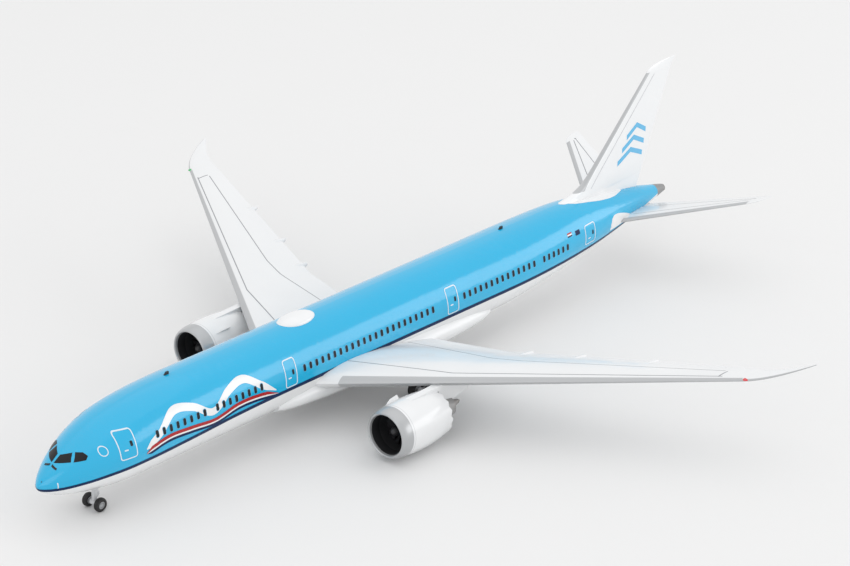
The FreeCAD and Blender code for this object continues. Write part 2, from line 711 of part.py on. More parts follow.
def fan_blade():
    """One twisted blade that stands straight up from the fan's axis."""
    rings = []
    half_depth = FAN_DEPTH * M / 2
    stations = [(FAN_HUB_RADIUS - BLADE_ROOTING, BLADE_ROOT_ANGLE), (FAN_TIP_RADIUS, BLADE_TIP_ANGLE)]
    for radius, angle in stations:
        turn = math.radians(angle)
        chord = min(half_depth / math.cos(turn), BLADE_HALF_CHORD)
        along = Vector(math.cos(turn), math.sin(turn), 0) * chord
        across = Vector(-math.sin(turn), math.cos(turn), 0) * BLADE_THICKNESS / 2
        centre = engine_point(FAN_X + FAN_DEPTH / 2, radius)
        corners = [centre - along - across, centre + along - across, centre + along + across,
                   centre - along + across]
        rings.append(Part.makePolygon(corners + corners[:1]))
    return Part.makeLoft(rings, True, True)


def fan_rotor():
    """The fan: spinner, hub and blades as one casting, bored for its shaft."""
    nose = quarter(FAN_X, 0.0, SPINNER_LENGTH, FAN_HUB_RADIUS, True)
    back = chain([nose[-1], engine_point(FAN_X + FAN_DEPTH, FAN_HUB_RADIUS),
                  engine_point(FAN_X + FAN_DEPTH, 0), nose[0]])
    hub = turned([spline(nose), *back])
    blades = []
    for i in range(FAN_BLADES):
        blade = fan_blade()
        blade.rotate(at(INLET_X, ENGINE_Y, ENGINE_Z), X_AXIS, i * 360 / FAN_BLADES)
        blades.append(blade)
    bore_start = engine_point(FAN_X - SHAFT_REACH - END_GAP, 0)
    bore = rod(SHAFT_R + RUNNING, bore_start, engine_point(FAN_X + 2 * FAN_DEPTH, 0))
    return hub.fuse(blades).cut(bore)


def pylon_solid():
    """The pylon's plate, before its neighbours are taken out of it."""
    side = [at(INLET_X + x, ENGINE_Y - PYLON_HALF, z) for x, z in PYLON_TOP + PYLON_LOW]
    return polygon(side).extrude(Y_AXIS * 2 * PYLON_HALF * M)


# ---- landing gear ----
def tyre(x, y, z, radius, width, hub):
    """A round-shouldered tyre."""
    half = width * M / 2
    top, foot = radius * M, hub * M
    depth = TYRE_SHOULDER * (top - foot)
    arc = []
    for i in range(-QUARTER_STEPS, QUARTER_STEPS + 1):
        angle = math.pi / 2 * i / QUARTER_STEPS
        arc.append(Vector(0, half * math.sin(angle), top - depth + depth * math.cos(angle) ** TYRE_FLATNESS))
    foot_corners = chain([arc[-1], Vector(0, half, foot), Vector(0, -half, foot), arc[0]])
    outline = Part.Wire([spline(arc), *foot_corners])
    ring = Part.Face(outline).revolve(Vector(0, 0, 0), Y_AXIS, 360)
    ring.translate(at(x, y, z))
    return ring


def hub(x, y, z, width, radius, outward):
    """A dished wheel centre, pressed on its axle."""
    centre = at(x, y, z)
    reach = Y_AXIS * outward * width * M / 2
    face = centre + reach * HUB_BREADTH
    floor = face - reach * DISH_DEPTH
    disc = rod(radius * M, centre - reach * HUB_BREADTH, face)
    dish = rod(radius * M * DISH_RADIUS, floor, face)
    boss = rod(AXLE_R * BOSS_RADIUS, floor, face)
    bore = rod(AXLE_R, centre - reach * 2, centre + reach * 2)
    return disc.cut(dish).fuse(boss).cut(bore)


def wheel_set(x, y, radius, spread, width, hub_radius):
    """An axle with a hub and a tyre on each end: axle, hubs and tyres by side."""
    reach = spread + width * AXLE_REACH
    axle = rod(AXLE_R, at(x, y - reach, radius), at(x, y + reach, radius))
    pieces = {"axle": axle}
    for side, outward in (("left", -1), ("right", 1)):
        wheel_y = y + outward * spread
        pieces[side + "_hub"] = hub(x, wheel_y, radius, width, hub_radius, outward)
        pieces[side + "_tyre"] = tyre(x, wheel_y, radius, radius, width, hub_radius)
    return pieces


def sleeve(x, y, z):
    """A bearing sleeve across the aircraft and the bore in it."""
    outer = rod(SLEEVE_RADIUS * M, at(x, y - SLEEVE_HALF, z), at(x, y + SLEEVE_HALF, z))
    bore = rod(AXLE_R + RUNNING, at(x, y - 1, z), at(x, y + 1, z))
    return outer, bore


def nose_leg():
    """The nose leg with its sleeve and its drag brace."""
    z = NOSE_WHEEL_RADIUS
    outer, bore = sleeve(NOSE_GEAR_X, 0, z)
    post = rod(LEG_RADIUS * M, at(NOSE_GEAR_X, 0, z), at(NOSE_GEAR_X, 0, NOSE_LEG_TOP))
    brace = rod(BRACE_RADIUS * M, at(NOSE_GEAR_X, 0, z + NOSE_BRACE_FOOT),
                at(NOSE_GEAR_X + NOSE_BRACE_REACH, 0, NOSE_LEG_TOP - BRACE_INSET))
    return post.fuse([outer, brace]).cut(bore)


def bogie_beam():
    """The beam that carries the two axles of the starboard main gear."""
    x, y, z = MAIN_GEAR_X, MAIN_GEAR_Y, MAIN_WHEEL_RADIUS
    beam = block((x - BOGIE_HALF, x + BOGIE_HALF), (y - BOGIE_HALF_WIDTH, y + BOGIE_HALF_WIDTH),
                 (z - BOGIE_HALF_WIDTH, z + BOGIE_HALF_WIDTH))
    for end in (x - BOGIE_HALF, x + BOGIE_HALF):
        outer, bore = sleeve(end, y, z)
        beam = beam.fuse(outer).cut(bore)
    return beam


def main_leg():
    """The starboard main leg, its side brace and its drag brace."""
    x, y, z = MAIN_GEAR_X, MAIN_GEAR_Y, MAIN_WHEEL_RADIUS + BOGIE_HALF_WIDTH
    post = rod(MAIN_LEG_RADIUS * M, at(x, y, z), at(x, y, MAIN_LEG_TOP))
    cylinder = rod(MAIN_CYLINDER_RADIUS * M, at(x, y, z + MAIN_CYLINDER_FOOT), at(x, y, MAIN_CYLINDER_TOP))
    foot = at(x, y, z + MAIN_BRACE_FOOT)
    drag = rod(BRACE_RADIUS * M, foot, at(x - DRAG_BRACE_REACH, y, MAIN_LEG_TOP - BRACE_INSET))
    side = rod(BRACE_RADIUS * M, foot, at(x, y - SIDE_BRACE_REACH, MAIN_LEG_TOP - BRACE_INSET))
    return post.fuse([cylinder, drag, side])


# ---- the whole model ----
def save_airframe():
    """Fuselage, wings, tail and what joins them."""
    outer = body_solid(NOSE_STATIONS + BARREL_STATIONS + TAIL_STATIONS, 0.0)
    hollow = body_solid(HOLLOW_STATIONS, WALL)
    plate = spar()
    fairing = fairing_solid()
    envelope = outer.fuse(fairing)
    right_leg = main_leg()
    left_leg = mirrored(right_leg)
    socket_hole = socket_bar(SOCKET_OUTER_R, SOCKET_LENGTH, SOCKET_RELIEF)
    holes = [screw_hole(x) for x in SCREW_X] + [socket_hole]

    right_wing_full = wing_solid()
    right_wing = largest(right_wing_full.cut([envelope, plate, right_leg]))
    save("right_wing", right_wing)
    save("left_wing", mirrored(right_wing))
    save("wing_spar", plate)
    save("belly_fairing", largest(fairing.cut([outer, plate, *holes])))
    save("stand_socket", stand_socket())
    save("assembly_screws", Part.makeCompound([screw(x) for x in SCREW_X]))

    fin_tab = block(FIN_TAB_X, (-FIN_TAB_HALF, FIN_TAB_HALF), FIN_TAB_Z)
    fin = largest(fin_solid().cut(outer))
    save("vertical_fin", fin.fuse(fin_tab.common(outer)))

    tail_tab = block(TAILPLANE_TAB_X, TAILPLANE_TAB_S, TAILPLANE_TAB_Z)
    tailplane = largest(tailplane_solid().cut(outer)).fuse(tail_tab)
    save("right_tailplane", tailplane)
    save("left_tailplane", mirrored(tailplane))

    nose_post = nose_leg()
    save("nose_gear_leg", nose_post)
    save("right_main_leg", right_leg)
    save("left_main_leg", left_leg)

    shell = outer.cut([hollow, cone_space(CONE_X, LENGTH + 1)])
    above = above_parting()
    tabs = [fin_tab, tail_tab, mirrored(tail_tab)]
    upper = shell.common(above).fuse(screw_posts()).cut(tabs)
    lower = shell.cut([above, plate, nose_post, *holes, *tabs])
    save("upper_fuselage_shell", upper)
    save("lower_fuselage_shell", lower)
    save("tail_cone", tail_cone(outer, hollow))
    save("satellite_dome", dome().cut(outer))
    save("antenna_blades", Part.makeCompound([blade_antenna(x).cut(outer) for x in BLADE_X]))
    return right_wing_full


def save_engines(wing):
    """Both engines and their pylons."""
    cowl = nacelle()
    core = core_nozzle()
    pylon = largest(pylon_solid().cut([cowl_envelope(), core, wing]))
    pieces = {"nacelle": cowl, "inlet_lip": inlet_lip(), "core_nozzle": core, "fan_shaft": fan_shaft(),
              "fan_rotor": fan_rotor(), "engine_pylon": pylon}
    for name, shape in pieces.items():
        save("right_" + name, shape)
        save("left_" + name, mirrored(shape))


def save_wheels():
    """Bogie beams and every set of wheels."""
    beam = bogie_beam()
    save("right_bogie_beam", beam)
    save("left_bogie_beam", mirrored(beam))
    nose = wheel_set(NOSE_GEAR_X, 0, NOSE_WHEEL_RADIUS, NOSE_WHEEL_Y, NOSE_TYRE_WIDTH, NOSE_HUB_RADIUS)
    for name, shape in nose.items():
        save("nose_" + name, shape)
    for side, y in (("left", -MAIN_GEAR_Y), ("right", MAIN_GEAR_Y)):
        for row, x in (("front", MAIN_GEAR_X - BOGIE_HALF), ("rear", MAIN_GEAR_X + BOGIE_HALF)):
            wheels = wheel_set(x, y, MAIN_WHEEL_RADIUS, MAIN_WHEEL_Y, MAIN_TYRE_WIDTH, MAIN_HUB_RADIUS)
            for name, shape in wheels.items():
                save(side + "_" + row + "_" + name, shape)


os.makedirs("parts", exist_ok=True)
starboard_wing = save_airframe()
save_engines(starboard_wing)
save_wheels()
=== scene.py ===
"""Looks of a desktop model of a long twin-engine airliner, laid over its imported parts.

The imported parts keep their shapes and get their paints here. The markings, glazing, lamps and small
fittings are made in this file, in metres, in the same frame: +X aft, +Y to starboard, +Z up. Stations,
breadths and heights called x, y and z in the classes are metres of the full-size aircraft, and
place() turns them into the model's metres.
"""

import logging
import math
from dataclasses import dataclass, field
from enum import Enum
from typing import Any, Callable, Iterable, Union

import bpy
from mathutils import Matrix, Vector


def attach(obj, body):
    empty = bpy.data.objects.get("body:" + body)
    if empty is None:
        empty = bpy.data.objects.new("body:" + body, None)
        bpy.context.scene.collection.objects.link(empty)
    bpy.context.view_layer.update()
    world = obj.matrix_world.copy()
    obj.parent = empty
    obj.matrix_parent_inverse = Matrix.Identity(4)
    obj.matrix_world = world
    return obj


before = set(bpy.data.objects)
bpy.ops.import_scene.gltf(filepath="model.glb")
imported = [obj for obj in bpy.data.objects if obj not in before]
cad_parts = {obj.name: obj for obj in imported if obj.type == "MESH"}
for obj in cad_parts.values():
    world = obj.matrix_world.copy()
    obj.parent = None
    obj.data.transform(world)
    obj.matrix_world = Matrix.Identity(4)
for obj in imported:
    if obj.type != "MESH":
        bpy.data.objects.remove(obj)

LOG = logging.getLogger("airliner")
SCALE = 0.005
MID_X = 34.23
MILLIMETRE = 0.001
SEAM_GREY = (0.35, 0.36, 0.38)

# Films: their thickness, and how far their faces stand off the skin, in millimetres.
FILM_THICKNESS = 0.03
PATCH_HEIGHT = 0.035
FILM_HEIGHT = 0.05
HANDLE_HEIGHT = 0.055
RIM_HEIGHT = 0.065
OUTLINE_HEIGHT = 0.07
DOOR_PANE_HEIGHT = 0.075
CHEATLINE_HEIGHT = 0.085
STREAM_HEIGHT = 0.1
PROBE_HEIGHT = 0.1
WIPER_HEIGHT = 0.12
WINDOW_HEIGHT = 0.13

Colour = tuple[float, float, float]
Triple = tuple[float, float, float]
Pair = tuple[float, float]
Line = tuple[Pair, ...]
Piece = bpy.types.Object
Material = bpy.types.Material
Number = Union[float, "Value"]


class Side(Enum):
    """The two sides of the aircraft, by the sign of Y."""

    PORT = -1
    STARBOARD = 1


class Slot(Enum):
    """The record's material slots; each new piece is passed one."""

    BLUE = "blue_paint"
    WHITE = "white_paint"
    BLACK = "black_plastic"


def place(x: float, y: float, z: float) -> Vector:
    """A point of the aircraft in the model's frame."""
    return Vector(((x - MID_X) * SCALE, y * SCALE, z * SCALE))


def shade(colour: Colour, share: float) -> Colour:
    """A colour made darker, or brighter with a share over 1."""
    return tuple(share * part for part in colour)


def smooth_line(points: Line, x: float) -> float:
    """Height of a smooth line through points.

    Args:
        points: Stations and heights, in order.
        x: The station asked for.

    Returns:
        The height there, level beyond both ends.
    """
    if x <= points[0][0]:
        return points[0][1]
    if x >= points[-1][0]:
        return points[-1][1]
    i = next(k for k in range(len(points) - 1) if x <= points[k + 1][0])

    def slope(k: int) -> float:
        """The line's slope at one of its points."""
        low, high = max(k - 1, 0), min(k + 1, len(points) - 1)
        return (points[high][1] - points[low][1]) / (points[high][0] - points[low][0])

    (x0, z0), (x1, z1) = points[i], points[i + 1]
    run = x1 - x0
    t = (x - x0) / run
    rise = (2 * t**3 - 3 * t**2 + 1) * z0 + (3 * t**2 - 2 * t**3) * z1
    return rise + run * ((t**3 - 2 * t**2 + t) * slope(i) + (t**3 - t**2) * slope(i + 1))


# ---- shader values ----
class Value:
    """A shader socket that adds, multiplies and compares like a number."""

    def __init__(self, shader: "Shader", socket: bpy.types.NodeSocket) -> None:
        """Keeps the socket and the shader that new Math nodes go into."""
        self.shader = shader
        self.socket = socket

    def math(self, operation: str, *others: Number, first: bool = True) -> "Value":
        """Adds one Math node.

        Args:
            operation: The Math node's operation.
            others: The other numbers or values.
            first: Whether this value comes before the others.

        Returns:
            The node's result.
        """
        terms = [self, *others] if first else [*others, self]
        return self.shader.node("ShaderNodeMath", {"operation": operation}, dict(enumerate(terms)))

    def __add__(self, other: Number) -> "Value":
        """Sum."""
        return self.math("ADD", other)

    def __radd__(self, other: Number) -> "Value":
        """Sum with a number in front."""
        return self.math("ADD", other)

    def __sub__(self, other: Number) -> "Value":
        """Difference."""
        return self.math("SUBTRACT", other)

    def __rsub__(self, other: Number) -> "Value":
        """Difference from a number."""
        return self.math("SUBTRACT", other, first=False)

    def __mul__(self, other: Number) -> "Value":
        """Product."""
        return self.math("MULTIPLY", other)

    def __rmul__(self, other: Number) -> "Value":
        """Product with a number in front."""
        return self.math("MULTIPLY", other)

    def __truediv__(self, other: Number) -> "Value":
        """Quotient."""
        return self.math("DIVIDE", other)

    def __pow__(self, power: float) -> "Value":
        """Power of a value that is not negative."""
        return self.math("MAXIMUM", 0.0).math("POWER", power)

    def __abs__(self) -> "Value":
        """Size without its sign."""
        return self.math("ABSOLUTE")

    def most(self, other: Number) -> "Value":
        """The larger of the two."""
        return self.math("MAXIMUM", other)

    def rises(self, low: float, high: float) -> "Value":
        """A soft step from 0 at low to 1 at high, or down if high is the smaller.

        Args:
            low: Where the step is 0.
            high: Where the step is 1.

        Returns:
            The step.
        """
        settings = {"interpolation_type": "SMOOTHSTEP", "clamp": True}
        if low < high:
            inputs = {"Value": self, "From Min": low, "From Max": high}
            return self.shader.node("ShaderNodeMapRange", settings, inputs)
        return 1.0 - self.rises(high, low)


class Shader:
    """One material with a Principled surface, built from expressions."""

    def __init__(self, name: str) -> None:
        """Starts a material with nothing but its surface and output."""
        self.material = bpy.data.materials.new(name)
        self.material.use_nodes = True
        self.tree = self.material.node_tree
        self.tree.nodes.clear()
        self.surface = self.tree.nodes.new("ShaderNodeBsdfPrincipled")
        output = self.tree.nodes.new("ShaderNodeOutputMaterial")
        self.tree.links.new(self.surface.outputs["BSDF"], output.inputs["Surface"])

    def node(self, kind: str, settings: dict[str, Any], inputs: dict[Any, Any], output: Any = 0) -> Value:
        """Adds any node.

        Args:
            kind: The node's type.
            settings: Its properties, set first.
            inputs: Numbers, colours or values by socket name or number.
            output: Name or number of the output wanted.

        Returns:
            That output as a value.
        """
        made = self.tree.nodes.new(kind)
        for name, setting in settings.items():
            setattr(made, name, setting)
        for name, term in inputs.items():
            if isinstance(term, Value):
                self.tree.links.new(term.socket, made.inputs[name])
            else:
                made.inputs[name].default_value = term
        return Value(self, made.outputs[output])

    def aircraft(self) -> tuple[Value, Value, Value]:
        """Station, breadth and height of the surface point, in metres of the full-size aircraft."""
        point = self.node("ShaderNodeTexCoord", {}, {}, "Object")
        axes = [self.node("ShaderNodeSeparateXYZ", {}, {"Vector": point}, axis) for axis in "XYZ"]
        return axes[0] / SCALE + MID_X, axes[1] / SCALE, axes[2] / SCALE

    def facing(self, axis: str) -> Value:
        """How far the surface faces along an axis of the aircraft, from -1 to 1."""
        normal = self.node("ShaderNodeTexCoord", {}, {}, "Normal")
        return self.node("ShaderNodeSeparateXYZ", {}, {"Vector": normal}, axis)

    def noise(self, size: float, detail: float = 3.0, stretch: Colour = (1.0, 1.0, 1.0)) -> Value:
        """Cloudy variation from 0 to 1.

        Args:
            size: Size of its patches, in millimetres of the model.
            detail: How many finer layers it has.
            stretch: How much longer the patches are along each axis.

        Returns:
            The variation.
        """
        point = self.node("ShaderNodeTexCoord", {}, {}, "Object")
        scale = tuple(1.0 / part for part in stretch)
        turned = self.node("ShaderNodeMapping", {}, {"Vector": point, "Scale": scale})
        inputs = {"Vector": turned, "Scale": 1.0 / (size * MILLIMETRE), "Detail": detail}
        return self.node("ShaderNodeTexNoise", {}, inputs, "Fac")

    def blend(self, share: Number, one: Any, other: Any) -> Value:
        """Mixes two colours."""
        inputs = {"Factor": share, 6: self.opaque(one), 7: self.opaque(other)}
        return self.node("ShaderNodeMix", {"data_type": "RGBA"}, inputs, 2)

    @staticmethod
    def opaque(colour: Any) -> Any:
        """A colour with its alpha, or a value as it is."""
        return colour if isinstance(colour, Value) else (*colour, 1.0)

    def set(self, socket: str, term: Any) -> None:
        """Sets or links one socket of the surface.

        Args:
            socket: The socket's name.
            term: A number, a colour or a value.
        """
        if isinstance(term, Value):
            self.tree.links.new(term.socket, self.surface.inputs[socket])
        else:
            self.surface.inputs[socket].default_value = term

    def relief(self, height: Value, depth: float) -> None:
        """Raises the surface by a height from 0 to 1, as deep as depth in millimetres."""
        inputs = {"Height": height, "Distance": depth * MILLIMETRE, "Strength": 1.0}
        self.set("Normal", self.node("ShaderNodeBump", {}, inputs))


# ---- finishes ----
@dataclass(frozen=True)
class Enamel:
    """Sprayed model enamel: a faint mottle, a fine orange peel and dust in the gloss."""

    name: str
    colour: Colour
    roughness: float = 0.16
    coat: float = 0.5
    metallic: float = 0.0
    peel: float = 0.006
    specular: float = 0.5

    def shader(self) -> Shader:
        """A shader with the enamel's even qualities set."""
        made = Shader(self.name)
        made.set("Metallic", self.metallic)
        made.set("Coat Weight", self.coat)
        made.set("Coat Roughness", 0.05)
        made.set("Specular IOR Level", self.specular)
        return made

    @staticmethod
    def finished(made: Shader, colour: Any, roughness: Value, height: Value, depth: float) -> Material:
        """Sets the patterned qualities of a shader.

        Args:
            made: The shader.
            colour: Its colour.
            roughness: Its roughness.
            height: Its relief, from 0 to 1.
            depth: How deep the relief is, in millimetres.

        Returns:
            The material.
        """
        made.set("Base Color", colour)
        made.set("Roughness", roughness)
        made.relief(height, depth)
        return made.material

    def sprayed(self, made: Shader, colour: Any, roughness: Any = None,
                grooves: Any = 0.0) -> Material:
        """Finishes a shader.

        Args:
            made: The shader.
            colour: The paint, plain or patterned.
            roughness: Its roughness, or the enamel's own.
            grooves: Where scribed lines are, as 0 to 1.

        Returns:
            The material.
        """
        mottle = made.noise(22.0, 4.0)
        speck = made.noise(0.5, 2.0)
        worn = made.blend((mottle - 0.35) * 0.22, colour, shade(self.colour, 0.72))
        base = self.roughness if roughness is None else roughness
        rough = (mottle - 0.5) * 0.10 + (speck - 0.5) * 0.06 + base
        return self.finished(made, worn, rough, speck * self.peel - grooves * 0.08 + 0.5, 1.0)

    def material(self) -> Material:
        """The plain enamel."""
        return self.sprayed(self.shader(), self.colour)


@dataclass(frozen=True)
class PaintedSurface(Enamel):
    """Enamel on a wing or tail surface, with a bare leading edge and scribed panel lines.

    Lines are (station, slope, start, end): a straight line whose station grows with the distance out.
    Cross lines are (distance out, first station, last station).
    """

    edge: Colour = (0.46, 0.47, 0.48)
    line_colour: Colour = (0.27, 0.28, 0.30)
    edge_line: tuple[float, float, float, float] = (0.0, 0.0, 0.0, 0.0)
    tip_edge: tuple[float, ...] = ()
    lines: tuple[tuple[float, float, float, float], ...] = ()
    cross_lines: tuple[Triple, ...] = ()
    width: float = 0.035
    upright: bool = False

    def out(self, made: Shader) -> tuple[Value, Value]:
        """Station and distance out along the surface."""
        x, y, z = made.aircraft()
        return x, (z if self.upright else abs(y))

    def material(self) -> Material:
        """The enamel with its leading edge and lines."""
        made = self.shader()
        x, out = self.out(made)
        start, slope, first, last = self.edge_line
        ahead = (out * slope + start - x).rises(-0.02, 0.02)
        bare = ahead * out.rises(first, first + 0.05) * out.rises(last + 0.05, last)
        if self.tip_edge:
            tip_start, tip_slope, bend, sweep, reach = self.tip_edge
            rake = (out - bend).most(0.0) / reach
            tip = (out * tip_slope + rake ** 2.2 * sweep + tip_start - x).rises(-0.02, 0.02)
            bare = bare.most(tip * out.rises(last - 0.1, last))
        drawn = None
        for start, slope, first, last in self.lines:
            offset = abs(out * slope + start - x)
            line = offset.rises(self.width * 1.5, self.width) * out.rises(first, first + 0.02)
            line = line * out.rises(last + 0.02, last)
            drawn = line if drawn is None else drawn.most(line)
        for where, low, high in self.cross_lines:
            line = abs(out - where).rises(self.width * 1.5, self.width) * x.rises(low, low + 0.02)
            drawn = drawn.most(line * x.rises(high + 0.02, high))
        paint = made.blend(drawn, self.colour, self.line_colour)
        paint = made.blend(bare, paint, self.edge)
        made.set("Metallic", bare * 0.2)
        return self.sprayed(made, paint, bare * 0.12 + self.roughness, drawn)


@dataclass(frozen=True)
class CowlEnamel(Enamel):
    """Enamel on a nacelle or its lip, with painted shade in near black inside the duct, and scribed with
    rings.
    """

    duct_shade: Colour = (0.006, 0.006, 0.008)
    axis: Pair = (9.73, 2.17)
    inside_radius: float = 1.6
    seams: tuple[float, ...] = (24.62,)
    bare_until: float = 0.0

    def radius(self, made: Shader) -> tuple[Value, Value]:
        """Station, and distance from the engine's axis.

        Args:
            made: The shader that the values belong to.

        Returns:
            Both values.
        """
        x, y, z = made.aircraft()
        across = abs(y) - self.axis[0]
        above = z - self.axis[1]
        return x, (across * across + above * above) ** 0.5

    def material(self) -> Material:
        """The enamel with the painted shade in its duct, and its rings."""
        made = self.shader()
        x, radius = self.radius(made)
        # Painted shade: the inner surface of the duct, aft of bare_until, turns near black to stand for the
        # shade inside the intake, and loses its coat there.
        inner = radius.rises(self.inside_radius, self.inside_radius - 0.02)
        duct_shade_mask = inner * x.rises(self.bare_until, self.bare_until + 0.05)
        seam = None
        for station in self.seams:
            ring = abs(x - station).rises(0.035, 0.02)
            seam = ring if seam is None else seam.most(ring)
        seam = seam * (1.0 - duct_shade_mask)
        paint = made.blend(duct_shade_mask, made.blend(seam * 0.3, self.colour, SEAM_GREY), self.duct_shade)
        made.set("Coat Weight", (1.0 - duct_shade_mask) * self.coat)
        return self.sprayed(made, paint, duct_shade_mask * 0.4 + self.roughness, seam * 0.25)


@dataclass(frozen=True)
class HotMetal(Enamel):
    """Heat-tinted grey metal, brushed along the aircraft and sooty towards its tip."""

    tint: Colour = (0.20, 0.17, 0.15)
    hottest: Pair = (28.5, 31.2)

    def material(self) -> Material:
        """The metal with its brushing and its tint."""
        made = self.shader()
        x, _, _ = made.aircraft()
        brushed = made.noise(0.35, 3.0, (18.0, 1.0, 1.0))
        heat = x.rises(*self.hottest)
        streaked = made.blend(brushed * 0.5, self.colour, shade(self.colour, 0.6))
        colour = made.blend(heat * 0.6, streaked, self.tint)
        return self.finished(made, colour, brushed * 0.2 + self.roughness, brushed, 0.01)


@dataclass(frozen=True)
class SteelBar(Enamel):
    """Drawn steel with fine marks across the aircraft."""

    def material(self) -> Material:
        """The steel with its draw marks."""
        made = self.shader()
        marks = made.noise(0.12, 2.0, (1.0, 14.0, 1.0))
        colour = made.blend(marks * 0.45, self.colour, shade(self.colour, 0.55))
        return self.finished(made, colour, marks * 0.2 + self.roughness, marks, 0.006)


@dataclass(frozen=True)
class TyreRubber(Enamel):
    """Black rubber with a grooved tread whose grooves are darkened as painted shade, and a dusty wall."""

    groove_pitch: float = 0.45
    groove_shade: Colour = (0.004, 0.004, 0.004)
    dust: Colour = (0.05, 0.049, 0.047)

    def material(self) -> Material:
        """The rubber with its grooves, darkened as painted shade."""
        made = self.shader()
        _, y, _ = made.aircraft()
        tread = abs(made.facing("Y")).rises(0.55, 0.3)
        turns = y * (2 * math.pi / (self.groove_pitch / (SCALE / MILLIMETRE)))
        groove = turns.math("SINE").rises(0.55, 0.85) * tread
        dust = made.noise(0.8, 4.0)
        # Painted shade: the grooves are blended towards groove_shade to stand for shade in the recesses.
        colour = made.blend(groove * 0.8, self.colour, self.groove_shade)
        dusty = made.blend(dust * 0.35, colour, self.dust)
        return self.finished(made, dusty, dust * 0.2 + self.roughness, dust * 0.1 - groove + 1.0, 0.05)


@dataclass(frozen=True)
class DarkPlastic(Enamel):
    """Moulded plastic with a fine spark-eroded texture and paler worn patches."""

    paler: Colour = (0.05, 0.052, 0.056)

    def material(self) -> Material:
        """The plastic with its texture."""
        made = self.shader()
        grain = made.noise(0.25, 2.0)
        wear = made.noise(2.5, 4.0)
        colour = made.blend(wear.rises(0.4, 0.75) * 0.6, self.colour, self.paler)
        return self.finished(made, colour, grain * 0.2 + self.roughness, grain, 0.012)


@dataclass(frozen=True)
class PrintedFilm(Enamel):
    """Printed marking film, with the faint unevenness of its ink."""

    def material(self) -> Material:
        """The film with its ink."""
        made = self.shader()
        ink = made.noise(0.6, 3.0)
        pools = made.noise(5.0, 2.0)
        colour = made.blend(ink * 0.12 + pools * 0.08, self.colour, shade(self.colour, 0.7))
        return self.finished(made, colour, ink * 0.08 + self.roughness, ink, 0.002)


@dataclass(frozen=True)
class LampGlass(Enamel):
    """Coloured lamp cover with a painted glow: lighter patches, scattered by noise."""

    def material(self) -> Material:
        """The cover with its painted glow."""
        made = self.shader()
        depth = made.noise(0.4, 2.0)
        # Painted glow: a lighter colour, mixed in by noise, stands for light seen inside the cover; the lamp
        # itself gives no light.
        painted_glow = tuple(min(1.0, 1.6 * part + 0.05) for part in self.colour)
        made.set("Base Color", made.blend(depth, self.colour, painted_glow))
        made.set("Roughness", depth * 0.05 + self.roughness)
        return made.material


